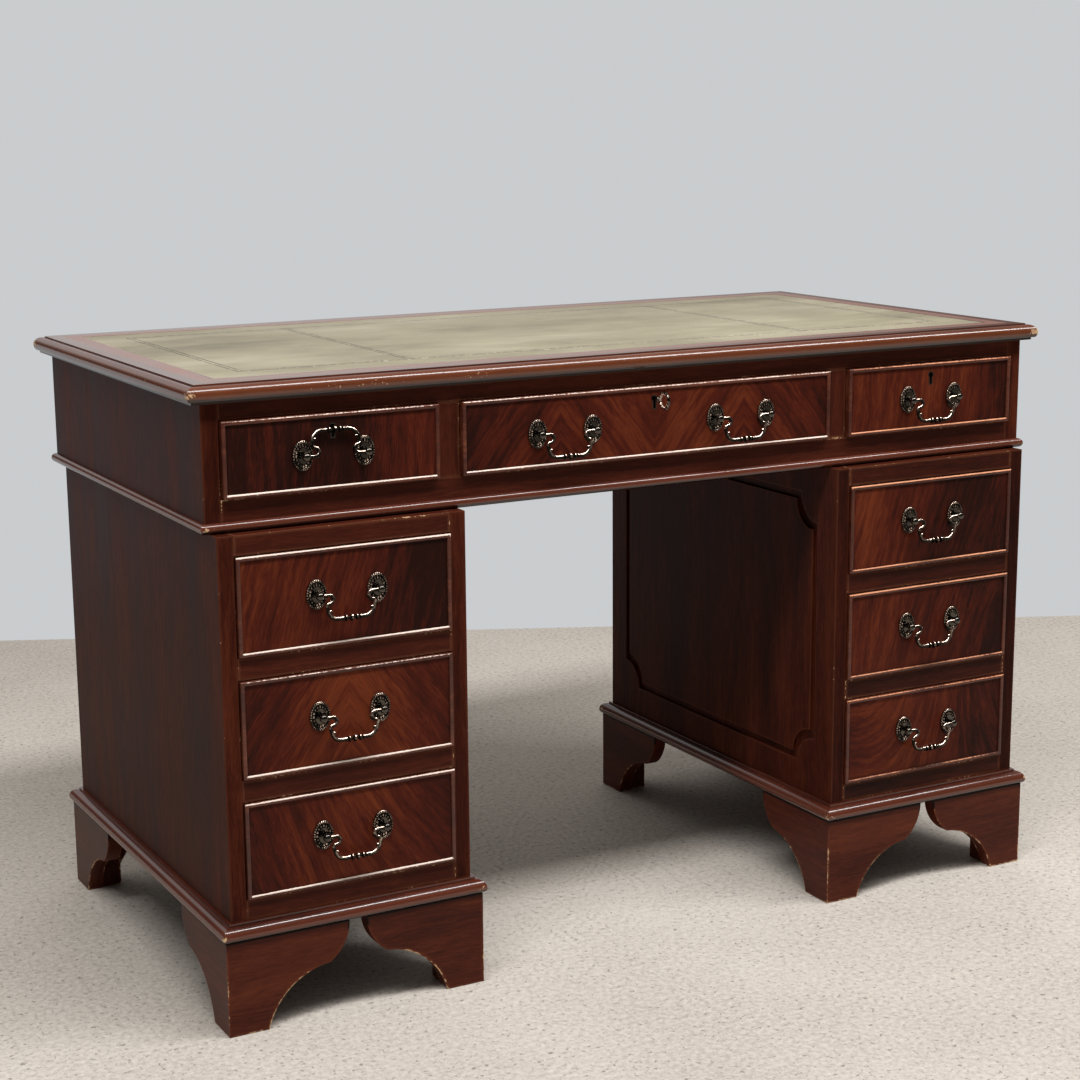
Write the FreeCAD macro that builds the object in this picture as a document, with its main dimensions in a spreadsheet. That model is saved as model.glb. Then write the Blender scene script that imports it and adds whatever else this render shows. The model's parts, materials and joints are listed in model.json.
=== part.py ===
"""A twin-pedestal writing desk: upper section, two pedestals, nine drawers and their brass fittings.

Millimetres, +X to the sitter's right, the drawer fronts facing -Y, +Z up, the feet on z = 0.
"""
import FreeCAD, Part
import math
import os

import Sketcher

SIZES = {
    # Top
    "top_width": 1220,
    "top_depth": 606,
    "top_thickness": 22,
    "edge_width": 30,
    "edge_nose": 12.5,
    "edge_nose_height": 10.5,
    "edge_quirk": 2,
    "edge_under_curve": 2.5,
    "edge_fillet_height": 3.5,
    "edge_fillet_out": 6,
    "leather_border": 39,
    "leather_thickness": 1.4,
    "leather_sink": 0.2,
    "leather_gap": 0.5,
    # Upper section
    "overhang_front": 14,
    "upper_depth": 573.5,
    "end_thickness": 21,
    "side_drawer_width": 271,
    "centre_drawer_width": 535,
    "divider_thickness": 28.5,
    "upper_drawer_height": 89,
    "upper_bottom_rail": 38,
    "upper_top_rail": 20,
    "bead_radius": 6.3,
    # Pedestals
    "kneehole_width": 545,
    "pedestal_lead": 19.6,
    "pedestal_depth": 578,
    "pedestal_side_thickness": 20,
    "pedestal_drawer_width": 270,
    "pedestal_drawer_height": 117,
    "pedestal_bottom_rail": 24,
    "pedestal_mid_rail": 26.5,
    "pedestal_top_rail": 24,
    "panel_margin": 42,
    "panel_corner_radius": 38,
    "panel_groove_width": 10,
    "panel_groove_depth": 5,
    # Carcase boards shared by the upper section and the pedestals
    "rail_depth": 20,
    "back_thickness": 12,
    "board_thickness": 12,
    "runner_width": 16,
    "dowel_radius": 5,
    "dowel_length": 20,
    "dowel_from_front": 140,
    # Plinth and bracket feet
    "plinth_height": 20,
    "plinth_inset": 30,
    "plinth_nose_radius": 6.5,
    "plinth_nose_centre": 9,
    "plinth_step_out": 4,
    "plinth_step_height": 3,
    "foot_height": 116,
    "foot_out": 11,
    "foot_thickness": 20,
    "foot_width": 50,
    "bracket_length": 156,
    "cusp_from_corner": 130,
    "cusp_height": 67.5,
    "hollow_radius": 90,
    "foot_block": 28,
    # Drawers
    "drawer_gap": 1,
    "upper_drawer_proud": 5.5,
    "pedestal_drawer_proud": 2,
    "front_thickness": 20,
    "cockbead_width": 5,
    "cockbead_depth": 8,
    "cockbead_nose": 2.5,
    "cockbead_rounding": 1.8,
    "drawer_side_thickness": 9,
    "drawer_side_relief": 1,
    "drawer_side_drop": 5,
    "drawer_back_drop": 10,
    "drawer_bottom_thickness": 5,
    "drawer_bottom_lift": 7,
    "drawer_back_gap": 6,
    "running_gap": 0.3,
    # Handles
    "handle_spacing": 77,
    "centre_handle_offset": 128,
    "upper_pivot_height": 42.5,
    "pedestal_pivot_height": 63.5,
    "pivot_standoff": 12.5,
    "ball_radius": 5.2,
    "neck_radius": 3,
    "shank_radius": 2,
    "shank_clearance": 0.3,
    "rosette_height": 35,
    "rosette_width": 25,
    "rosette_thickness": 1.8,
    "boss_height": 19,
    "boss_width": 13,
    "boss_thickness": 1.6,
    "nut_radius": 5,
    "nut_thickness": 3,
    "bail_drop": 29,
    "bail_pin_length": 11.3,
    "bail_curl_radius": 5,
    "bail_neck_radius": 3,
    "bail_corner_radius": 9,
    "bail_wire_radius": 1.9,
    "bail_ring_spacing": 6.5,
    "bail_ring_radius": 4.2,
    "bail_small_ring_radius": 3.4,
    "bail_ring_width": 2.2,
    "bail_bead_radius": 2.7,
    "bail_raised_angle": 195,
    "pin_clearance": 0.05,
    # Locks and key
    "keyhole_drop": 16,
    "keyhole_radius": 3.3,
    "keyhole_slot_width": 3,
    "keyhole_slot_length": 12,
    "escutcheon_wall": 1.5,
    "escutcheon_depth": 3,
    "lock_width": 50,
    "lock_height": 36,
    "lock_depth": 11,
    "lock_wall": 1.2,
    "bolt_width": 20,
    "bolt_height": 13,
    "bolt_thickness": 5,
    "bolt_throw": 6,
    "bolt_clearance": 0.3,
    "key_radius": 2,
    "key_bit_length": 6.5,
    "key_bit_width": 3,
    "key_bit_height": 2,
    "key_collar_radius": 3.6,
    "key_collar_out": 8,
    "key_bow_radius": 10,
    "key_bow_thickness": 1.9,
    "key_bow_out": 23,
    # How far cutting tools run past what they cut
    "overrun": 1,
}

doc = FreeCAD.newDocument("pedestal_desk")
sheet = doc.addObject("Spreadsheet::Sheet", "Sizes")
for row, (alias, number) in enumerate(SIZES.items(), start=1):
    sheet.set(f"A{row}", alias.replace("_", " "))
    sheet.set(f"B{row}", str(number))
    sheet.setAlias(f"B{row}", alias)
doc.recompute()

Vector, Rotation = FreeCAD.Vector, FreeCAD.Rotation
UPRIGHT = Rotation(Vector(1, 1, 1), 120)  # turns X to Y, Y to Z and Z to X
FACING_FRONT = Rotation(Vector(1, 0, 0), 90)  # turns Y to Z and Z to -Y
OVAL_UPRIGHT = Rotation(Vector(1, 1, 1), 240)  # turns X to Z, Y to X and Z to Y
SEAM_TO_FRONT = Rotation(Vector(0, 0, 1), -90)  # turns a ball's seam away from what passes through it in X
ALONG = {
    "x": Rotation(Vector(0, 1, 0), 90),
    "y": Rotation(Vector(1, 0, 0), -90),
    "z": Rotation(),
}


class Size:
    """A number together with the sheet expression that gives it."""

    def __init__(self, value, text):
        self.value, self.text = float(value), text

    def joined(self, sign, other, value):
        return Size(value, f"({self.text} {sign} {sized(other).text})")

    def __add__(self, other):
        return self.joined("+", other, self.value + sized(other).value)

    def __sub__(self, other):
        return self.joined("-", other, self.value - sized(other).value)

    def __mul__(self, other):
        return self.joined("*", other, self.value * sized(other).value)

    def __truediv__(self, other):
        return self.joined("/", other, self.value / sized(other).value)

    def __neg__(self):
        return self * -1


def sized(number):
    return number if isinstance(number, Size) else Size(number, repr(number))


class Sheet:
    """Reads a named size as D.name."""

    def __getattr__(self, alias):
        return Size(sheet.get(alias), f"Sizes.{alias}")


D = Sheet()
ZERO = sized(0)
nodes = []


def bind(thing, **sizes):
    """Ties properties of a document object to the sheet."""
    for name, size in sizes.items():
        thing.setExpression(name, sized(size).text)
    return thing


def put(thing, x=ZERO, y=ZERO, z=ZERO, turn=None):
    """Places a document object, with its origin tied to the sheet."""
    thing.Placement = FreeCAD.Placement(Vector(), turn or Rotation())
    for axis, size in zip("xyz", (x, y, z)):
        thing.setExpression(f"Placement.Base.{axis}", sized(size).text)
    return thing


def box(name, x, y, z):
    """A board that reaches from the first to the second place along each axis."""
    board = doc.addObject("Part::Box", name)
    bind(board, Length=x[1] - x[0], Width=y[1] - y[0], Height=z[1] - z[0])
    return put(board, x[0], y[0], z[0])


def across(half, centre=ZERO):
    """A span to both sides of a centre."""
    return sized(centre) - half, sized(centre) + half


def rod(name, axis, radius, length, x=ZERO, y=ZERO, z=ZERO):
    """A round bar that starts at a point and runs along an axis."""
    bar = bind(doc.addObject("Part::Cylinder", name), Radius=radius, Height=length)
    return put(bar, x, y, z, ALONG[axis])


def ball(name, radius, x=ZERO, y=ZERO, z=ZERO, turn=None):
    return put(bind(doc.addObject("Part::Sphere", name), Radius=radius), x, y, z, turn)


def fuse(name, *shapes):
    joined = doc.addObject("Part::MultiFuse", name)
    joined.Shapes = list(shapes)
    return joined


def cut(name, base, *tools):
    result = doc.addObject("Part::Cut", name)
    result.Base = base
    result.Tool = tools[0] if len(tools) == 1 else fuse(f"{name}_tools", *tools)
    return result


def common(name, base, tool):
    result = doc.addObject("Part::Common", name)
    result.Base, result.Tool = base, tool
    return result


def group(name, *members):
    gathered = doc.addObject("Part::Compound", name)
    gathered.Links = list(members)
    return gathered


def copy(name, source, x=ZERO, y=ZERO, z=ZERO, turn=None):
    linked = doc.addObject("App::Link", name)
    linked.LinkedObject, linked.LinkTransform = source, True
    return put(linked, x, y, z, turn)


def mirrored(name, source, normal):
    image = doc.addObject("Part::Mirroring", name)
    image.Source, image.Normal = source, normal
    return image


def node(label, *members):
    """A sub-part: one solid, or a group of separate solids, written to its own file."""
    part = members[0] if len(members) == 1 else group(label, *members)
    part.Label = label
    nodes.append(part)
    return part


def sweep_of(start, end, radius):
    """The arc from start to end, its centre on the left of the way for a radius above zero."""
    chord = end - start
    rise = math.sqrt(max(radius * radius - chord.Length**2 / 4, 0))
    left = Vector(-chord.y, chord.x, 0).normalize()
    centre = (start + end) / 2 + left * math.copysign(rise, radius)
    first, last = (start, end) if radius > 0 else (end, start)
    angles = [math.atan2(point.y - centre.y, point.x - centre.x) for point in (first, last)]
    return Part.ArcOfCircle(Part.Circle(centre, Vector(0, 0, 1), abs(radius)), *angles)


def outline(name, corners, closed=True):
    """A sketch through corners (across, up) or (across, up, radius of the arc that ends there)."""
    sketch = doc.addObject("Sketcher::SketchObject", name)
    corners = [[sized(size) for size in corner] for corner in corners]
    points = [Vector(corner[0].value, corner[1].value, 0) for corner in corners]
    count = len(corners) if closed else len(corners) - 1
    ends = []
    for edge in range(count):
        following = (edge + 1) % len(corners)
        start, end = points[edge], points[following]
        if len(corners[following]) == 3:
            radius = corners[following][2].value
            sketch.addGeometry(sweep_of(start, end, radius))
            ends.append((1, 2) if radius > 0 else (2, 1))
        else:
            sketch.addGeometry(Part.LineSegment(start, end))
            ends.append((1, 2))
    rules, tied = [], []
    for edge in range(count if closed else count - 1):
        following = (edge + 1) % count
        rules.append(Sketcher.Constraint("Coincident", edge, ends[edge][1], following, ends[following][0]))
    for place, corner in enumerate(corners):
        edge, end = (place, ends[place][0]) if place < count else (count - 1, ends[-1][1])
        for kind, size in (("DistanceX", corner[0]), ("DistanceY", corner[1])):
            tied.append((len(rules), size.text))
            rules.append(Sketcher.Constraint(kind, -1, 1, edge, end, size.value))
        if len(corner) == 3:
            size = corner[2] if corner[2].value > 0 else -corner[2]
            tied.append((len(rules), size.text))
            rules.append(Sketcher.Constraint("Radius", (place - 1) % len(corners), size.value))
    sketch.addConstraint(rules)
    for number, text in tied:
        sketch.renameConstraint(number, f"size_{number}")
        sketch.setExpression(f"Constraints.size_{number}", text)
    return sketch


def extrude(name, flat, length):
    """A solid of a flat outline, along the outline's own normal."""
    solid = doc.addObject("Part::Extrusion", name)
    solid.Base, solid.DirMode, solid.Solid = flat, "Normal", True
    return bind(solid, LengthFwd=length)


def wedge(name, near, far, deep, height):
    """A prism of a trapezium, with one span in x where deep starts and another where it ends."""
    prism = doc.addObject("Part::Wedge", name)
    bind(prism, Xmin=near[0], Xmax=near[1], X2min=far[0], X2max=far[1])
    return bind(prism, Ymin=deep[0], Ymax=deep[1], Zmin=ZERO, Z2min=ZERO, Zmax=height, Z2max=height)


def mitred_run(name, profile, half, inset, reach, height):
    """A moulding along X, mitred at both ends, with its profile out along +Y."""
    flat = put(outline(f"{name}_profile", profile), x=-(half + reach), turn=UPRIGHT)
    bar = extrude(f"{name}_bar", flat, (half + reach) * 2)
    mitre = wedge(f"{name}_mitre", across(half - inset), across(half + reach), (-inset, reach), height)
    return common(name, bar, mitre)


def mitred_frame(name, profile, half_width, half_depth, inset, reach, height):
    """A long and a short run of one moulding, for a rectangular frame."""
    return [mitred_run(f"{name}_{side}", profile, half, inset, reach, height)
            for side, half in (("long", half_width), ("short", half_depth))]


def framed(name, runs, half_width, half_depth, x, y, z):
    """The four lengths of a moulding round a rectangle centred at x, y."""
    places = (("front", 0, 180, x, y - half_depth), ("back", 0, 0, x, y + half_depth),
              ("left", 1, 90, x - half_width, y), ("right", 1, -90, x + half_width, y))
    return [copy(f"{name}_{side}", runs[run], px, py, z, Rotation(Vector(0, 0, 1), turn))
            for side, run, turn, px, py in places]


# Heights, from the floor up
pedestal_floor = D.foot_height + D.plinth_height
drawer_pitch = D.pedestal_drawer_height + D.drawer_gap * 2 + D.pedestal_mid_rail
first_drawer = pedestal_floor + D.pedestal_bottom_rail + D.drawer_gap
pedestal_top = (first_drawer + drawer_pitch * 2 + D.pedestal_drawer_height
                + D.drawer_gap + D.pedestal_top_rail)
upper_drawer_floor = pedestal_top + D.upper_bottom_rail + D.drawer_gap
upper_drawer_top = upper_drawer_floor + D.upper_drawer_height
top_floor = upper_drawer_top + D.drawer_gap + D.upper_top_rail
top_surface = top_floor + D.top_thickness

# Depths: the top's middle lies so far back that the desk reaches as far forward as back
top_middle = (D.pedestal_lead + D.pedestal_drawer_proud + D.pivot_standoff + D.ball_radius
              - D.overhang_front) / 2
upper_face = top_middle - D.top_depth / 2 + D.overhang_front
upper_back = upper_face + D.upper_depth
pedestal_face = upper_face - D.pedestal_lead
pedestal_back = pedestal_face + D.pedestal_depth

# Widths, from the middle out
centre_opening = D.centre_drawer_width + D.drawer_gap * 2
side_opening = D.side_drawer_width + D.drawer_gap * 2
upper_half = centre_opening / 2 + D.divider_thickness + side_opening + D.end_thickness
side_drawer_middle = centre_opening / 2 + D.divider_thickness + side_opening / 2
pedestal_opening = D.pedestal_drawer_width + D.drawer_gap * 2
pedestal_width = pedestal_opening + D.pedestal_side_thickness * 2
pedestal_middle = D.kneehole_width / 2 + pedestal_width / 2
SIDES = (("left", -1), ("right", 1))


def build_top():
    """Board with a sunk field, thumbnail edge moulding and the leather in the field."""
    half_width, half_depth = D.top_width / 2, D.top_depth / 2
    board = box("top_blank", across(half_width - D.edge_width),
                across(half_depth - D.edge_width, top_middle), (top_floor, top_surface))
    border = D.edge_nose + D.leather_border
    field_floor = top_surface - D.leather_thickness - D.leather_sink
    field = box("leather_field", across(half_width - border), across(half_depth - border, top_middle),
                (field_floor, top_surface + D.overrun))
    node("top_board", cut("sunk_top", board, field))
    trimmed = border + D.leather_gap
    node("leather_inset", box("leather", across(half_width - trimmed),
                              across(half_depth - trimmed, top_middle),
                              (field_floor, field_floor + D.leather_thickness)))
    # Thumbnail profile, out from the edge of the flat, up from the underside
    shoulder = D.top_thickness - D.edge_quirk
    fall = shoulder - D.edge_nose_height
    thumb = (D.edge_nose * D.edge_nose + fall * fall) / (D.edge_nose * 2)
    rise, curve = D.edge_nose_height - D.edge_fillet_height, D.edge_under_curve
    under = (curve * curve + rise * rise) / (curve * 2)
    inset = D.edge_width - D.edge_nose
    profile = [(-inset, ZERO), (D.edge_fillet_out, ZERO), (D.edge_fillet_out, D.edge_fillet_height),
               (D.edge_nose - curve, D.edge_fillet_height), (D.edge_nose, D.edge_nose_height, under),
               (ZERO, shoulder, thumb), (ZERO, D.top_thickness), (-inset, D.top_thickness)]
    flat_width, flat_depth = half_width - D.edge_nose, half_depth - D.edge_nose
    runs = mitred_frame("top_edge", profile, flat_width, flat_depth, inset, D.edge_nose, D.top_thickness)
    node("top_edge_moulding", *framed("edge", runs, flat_width, flat_depth, ZERO, top_middle, top_floor))


def build_upper_section():
    """Carcase that holds the three upper drawers."""
    inner = upper_half - D.end_thickness
    depth = (upper_face, upper_back)
    behind = (upper_face + D.rail_depth, upper_back - D.back_thickness)
    height = (pedestal_top, top_floor)
    rail_top = pedestal_top + D.upper_bottom_rail
    rail_low = top_floor - D.upper_top_rail
    board_top = pedestal_top + D.board_thickness
    node("upper_end_panels", box("left_end", (-upper_half, -inner), depth, height),
         box("right_end", (inner, upper_half), depth, height))
    node("upper_back_panel", box("upper_back", across(inner), (behind[1], upper_back), height))
    front = (upper_face, behind[0])
    mortise = box("bolt_mortise", across(D.bolt_width / 2 + D.bolt_clearance * 2),
                  bolt_depths(upper_face, D.bolt_clearance * 2),
                  (rail_low - D.overrun, rail_low + D.bolt_throw))
    node("upper_rails", box("bottom_rail", across(inner), front, (pedestal_top, rail_top)),
         cut("top_rail", box("top_rail_blank", across(inner), front, (rail_low, top_floor)), mortise))
    dividers, strips = [], []
    for side, sign in SIDES:
        middle = (centre_opening / 2 + D.divider_thickness / 2) * sign
        reach = across(D.divider_thickness / 2, middle)
        dividers.append(box(f"{side}_muntin", reach, front, (rail_top, rail_low)))
        dividers.append(box(f"{side}_partition", reach, behind, (board_top, top_floor)))
    node("upper_dividers", *dividers)
    for name, middle, opening in (("left", -side_drawer_middle, side_opening),
                                  ("centre", ZERO, centre_opening),
                                  ("right", side_drawer_middle, side_opening)):
        for edge, sign in SIDES:
            outer = middle + opening / 2 * sign
            reach = sorted((outer, outer - D.runner_width * sign), key=lambda size: size.value)
            strips.append(box(f"{name}_{edge}_runner", reach, behind,
                              (board_top, rail_top + D.drawer_gap - D.running_gap)))
            strips.append(box(f"{name}_{edge}_kicker", reach, behind, (rail_low, top_floor)))
    node("upper_drawer_runners", *strips)
    blank = box("upper_bottom_blank", across(inner), behind, (pedestal_top, board_top))
    node("upper_bottom_board", cut("upper_bottom", blank, *dowel_rods("upper_hole", D.pin_clearance)))
    radius = D.bead_radius
    profile = [(ZERO, ZERO), (radius, radius, radius), (ZERO, radius * 2, radius)]
    half_depth = D.upper_depth / 2
    runs = mitred_frame("base_bead", profile, upper_half, half_depth, ZERO, radius, radius * 2)
    node("upper_base_bead", *framed("bead", runs, upper_half, half_depth, ZERO,
                                    upper_face + half_depth, pedestal_top))


def dowel_rods(name, clearance=ZERO):
    """Two rods in each pedestal's top, half of their length in each section."""
    return [rod(f"{name}_{side}_{end}", "z", D.dowel_radius + clearance, D.dowel_length,
                pedestal_middle * sign, y, pedestal_top - D.dowel_length / 2)
            for side, sign in SIDES
            for end, y in (("front", pedestal_face + D.dowel_from_front),
                           ("rear", pedestal_back - D.dowel_from_front))]


def build_pedestals():
    """Sides, backs, rails, boards and runners of both pedestals."""
    depth = (pedestal_face, pedestal_back)
    behind = (pedestal_face + D.rail_depth, pedestal_back - D.back_thickness)
    height = (pedestal_floor, pedestal_top)
    kneehole, thick = D.kneehole_width / 2, D.pedestal_side_thickness
    outer = kneehole + pedestal_width
    inner_side = box("right_inner_blank", (kneehole, kneehole + thick), depth, height)
    right_inner = cut("right_inner_side", inner_side, panel_groove(kneehole))
    right_outer = box("right_outer_side", (outer - thick, outer), depth, height)
    node("right_pedestal_sides", right_inner, right_outer)
    facing = Vector(1, 0, 0)
    node("left_pedestal_sides", mirrored("left_inner_side", right_inner, facing),
         mirrored("left_outer_side", right_outer, facing))
    backs, rails, boards, strips = [], [], [], []
    low_board = (pedestal_floor, pedestal_floor + D.board_thickness)
    high_board = (pedestal_top - D.board_thickness, pedestal_top)
    holes = dict(zip(("left", "right"), halves(dowel_rods("pedestal_hole", D.pin_clearance))))
    for side, sign in SIDES:
        middle = pedestal_middle * sign
        wide = across(pedestal_opening / 2, middle)
        backs.append(box(f"{side}_back", wide, (behind[1], pedestal_back), height))
        boards.append(box(f"{side}_floor_board", wide, behind, low_board))
        blank = box(f"{side}_top_blank", wide, behind, high_board)
        boards.append(cut(f"{side}_top_board", blank, *holes[side]))
        for level, (low, high) in enumerate(rail_levels()):
            rails.append(box(f"{side}_rail_{level}", wide, (pedestal_face, behind[0]), (low, high)))
        for edge, hand in SIDES:
            wall = middle + pedestal_opening / 2 * hand
            reach = sorted((wall, wall - D.runner_width * hand), key=lambda size: size.value)
            for level, (low, high) in enumerate(runner_levels()):
                strips.append(box(f"{side}_{edge}_runner_{level}", reach, behind, (low, high)))
    node("pedestal_back_panels", *backs)
    node("pedestal_rails", *rails)
    node("pedestal_boards", *boards)
    node("pedestal_drawer_runners", *strips)
    node("locating_dowels", *dowel_rods("dowel"))


def halves(items):
    return items[:len(items) // 2], items[len(items) // 2:]


def panel_groove(kneehole):
    """The groove round a field with incurved corners, for cutting into a kneehole side."""
    outer = panel_block("kneehole_panel", D.panel_margin, kneehole)
    field = panel_block("kneehole_field", D.panel_margin + D.panel_groove_width, kneehole)
    return cut("kneehole_groove", outer, field)


def panel_block(name, margin, kneehole):
    """A block with incurved corners, as deep as the groove, at a margin inside a kneehole side."""
    near, far = pedestal_face + margin, pedestal_back - margin
    low, high = pedestal_floor + margin, pedestal_top - margin
    turn = D.panel_corner_radius
    panel = outline(f"{name}_outline", [
        (near + turn, low, -turn), (far - turn, low), (far, low + turn, -turn), (far, high - turn),
        (far - turn, high, -turn), (near + turn, high), (near, high - turn, -turn), (near, low + turn)])
    put(panel, x=kneehole - D.overrun, turn=UPRIGHT)
    return extrude(name, panel, D.panel_groove_depth + D.overrun)


def rail_levels():
    """Bottom and top of each front rail of a pedestal, from the lowest up."""
    levels = [(pedestal_floor, pedestal_floor + D.pedestal_bottom_rail)]
    for count in (1, 2):
        high = first_drawer + drawer_pitch * count - D.drawer_gap
        levels.append((high - D.pedestal_mid_rail, high))
    return levels + [(pedestal_top - D.pedestal_top_rail, pedestal_top)]


def runner_levels():
    """Strips behind the rails: the drawers run on them and are held down by the next ones up."""
    rise = D.drawer_gap - D.running_gap
    lowest, second, third, highest = rail_levels()
    return [(lowest[0] + D.board_thickness, lowest[1] + rise), (second[0], second[1] + rise),
            (third[0], third[1] + rise), (highest[0], highest[1] - D.board_thickness)]


def build_plinths_and_feet():
    """Plinth mouldings under the pedestals and the bracket feet under the plinths."""
    nose, centre = D.plinth_nose_radius, D.plinth_nose_centre
    step = D.plinth_height - D.plinth_step_height
    run, rise = centre + nose - D.plinth_step_out, step - nose
    ovolo = (run * run + rise * rise) / (run * 2)
    profile = [(-D.plinth_inset, ZERO), (centre, ZERO), (centre + nose, nose, nose),
               (D.plinth_step_out, step, ovolo), (D.plinth_step_out, D.plinth_height),
               (-D.plinth_inset, D.plinth_height)]
    half_width, half_depth = pedestal_width / 2, D.pedestal_depth / 2
    runs = mitred_frame("plinth", profile, half_width, half_depth, D.plinth_inset, centre + nose,
                        D.plinth_height)
    mouldings = []
    foot = bracket_foot()
    for side, sign in SIDES:
        middle = pedestal_middle * sign
        mouldings += framed(f"{side}_plinth", runs, half_width, half_depth, middle,
                            pedestal_face + half_depth, D.foot_height)
        left, right = across(half_width + D.foot_out, middle)
        front, back = pedestal_face - D.foot_out, pedestal_back + D.foot_out
        corners = ((left, front), (right, front), (right, back), (left, back))
        node(f"{side}_bracket_feet", *[
            copy(f"{side}_foot_{quarter}", foot, x, y, turn=Rotation(Vector(0, 0, 1), 90 * quarter))
            for quarter, (x, y) in enumerate(corners)])
    node("plinth_mouldings", *mouldings)


def bracket_foot():
    """Two mitred plates with an ogee edge, and the glue block in their corner."""
    thick, length, height = D.foot_thickness, D.bracket_length, D.foot_height
    round_run, round_rise = length - D.cusp_from_corner, height - D.cusp_height
    swell = (round_run * round_run + round_rise * round_rise) / (round_run * 2)
    edge = outline("bracket_edge", [(ZERO, ZERO), (D.foot_width, ZERO),
                                    (D.cusp_from_corner, D.cusp_height, -D.hollow_radius),
                                    (length, height, swell), (ZERO, height)])
    blank = extrude("bracket_blank", put(edge, y=thick, turn=FACING_FRONT), thick)
    mitre = wedge("bracket_mitre", (ZERO, length), (thick, length), (ZERO, thick), height)
    plate = common("bracket_plate", blank, mitre)
    inside = (thick, thick + D.foot_block)
    return group("bracket_foot", plate, mirrored("bracket_return", plate, Vector(1, -1, 0)),
                 box("foot_glue_block", inside, inside, (ZERO, height)))


def build_handle_mount():
    """Rosette, post and nut of one handle end: the drawer's face at y = 0, the post's axis at x = z = 0."""
    plate = oval("rosette_plate", D.rosette_width, D.rosette_height, D.rosette_thickness)
    raised = D.rosette_thickness + D.boss_thickness
    boss = oval("rosette_boss", D.boss_width, D.boss_height, raised)
    hole = rod("rosette_hole", "y", D.shank_radius + D.shank_clearance, raised + D.overrun * 2,
               y=-raised - D.overrun)
    rosette = cut("rosette", fuse("rosette_blank", plate, boss), hole)
    tail = D.front_thickness + D.nut_thickness
    shank = rod("post_shank", "y", D.shank_radius, tail + raised, y=-raised)
    neck = rod("post_neck", "y", D.neck_radius, D.pivot_standoff - raised, y=-D.pivot_standoff)
    head = ball("post_head", D.ball_radius, y=-D.pivot_standoff, turn=SEAM_TO_FRONT)
    bore = rod("post_bore", "x", D.bail_wire_radius + D.pin_clearance,
               D.ball_radius + D.overrun, x=-D.shank_clearance, y=-D.pivot_standoff)
    post = cut("post", fuse("post_blank", shank, neck, head), bore)
    blank = bind(doc.addObject("Part::Prism", "nut_blank"), Circumradius=D.nut_radius,
                 Height=D.nut_thickness)
    put(blank, y=D.front_thickness, turn=ALONG["y"])
    thread = rod("nut_thread", "y", D.shank_radius + D.pin_clearance, D.nut_thickness + D.overrun * 2,
                 y=D.front_thickness - D.overrun)
    return group("handle_mount", rosette, post, cut("nut", blank, thread))


def oval(name, width, height, thickness):
    """An upright oval plate whose back lies on y = 0."""
    rim = bind(doc.addObject("Part::Ellipse", f"{name}_rim"), MajorRadius=height / 2,
               MinorRadius=width / 2)
    return extrude(name, put(rim, y=-thickness, turn=OVAL_UPRIGHT), thickness)


def build_bail():
    """A swan-neck bail that hangs from its pivots on y = z = 0."""
    half, drop, curl = D.handle_spacing / 2, D.bail_drop, D.bail_curl_radius
    neck, corner = D.bail_neck_radius, D.bail_corner_radius
    start = half - D.bail_pin_length
    out = start + neck
    low, fall = curl * 2, curl * 2 + neck
    path = outline("bail_path", [
        (half, ZERO), (start, ZERO), (start - curl, -curl, curl), (start, -low, curl),
        (out, -fall, -neck), (out, corner - drop), (out - corner, -drop, -corner),
        (corner - out, -drop), (-out, corner - drop, -corner), (-out, -fall),
        (-start, -low, -neck), (curl - start, -curl, curl), (-start, ZERO, curl), (-half, ZERO)],
        closed=False)
    put(path, turn=FACING_FRONT)
    section = bind(doc.addObject("Part::Circle", "bail_section"), Radius=D.bail_wire_radius)
    put(section, x=half, turn=ALONG["x"])
    wire = doc.addObject("Part::Sweep", "bail_wire")
    wire.Sections = [section]
    wire.Spine = (path, [f"Edge{edge + 1}" for edge in range(path.GeometryCount)])
    wire.Solid = True
    width, gap = D.bail_ring_width, D.bail_ring_spacing
    rings = [rod(f"bail_{name}_ring", "x", radius, width, x=middle - width / 2, z=-drop)
             for name, radius, middle in (("left", D.bail_small_ring_radius, -gap),
                                          ("middle", D.bail_ring_radius, ZERO),
                                          ("right", D.bail_small_ring_radius, gap))]
    beads = [ball(f"bail_{side}_bead", D.bail_bead_radius, x=start * sign, z=-low, turn=SEAM_TO_FRONT)
             for side, sign in SIDES]
    return fuse("bail", wire, *rings, *beads)


def bolt_depths(face, clearance=ZERO):
    """Where a lock's bolt lies, behind the face of the rails."""
    back = face - D.upper_drawer_proud + D.front_thickness
    return across(D.bolt_thickness / 2 + clearance, back - D.lock_depth / 2)


def keyhole(name, wall, field, depth, axis_height):
    """A round hole over a slot, wall wider all round, from the field into the front."""
    round_part = rod(f"{name}_round", "y", D.keyhole_radius + wall, depth, y=field, z=axis_height)
    slot = box(f"{name}_slot", across(D.keyhole_slot_width / 2 + wall), (field, field + depth),
               (axis_height - D.keyhole_slot_length - wall, axis_height))
    return fuse(name, round_part, slot)


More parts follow.
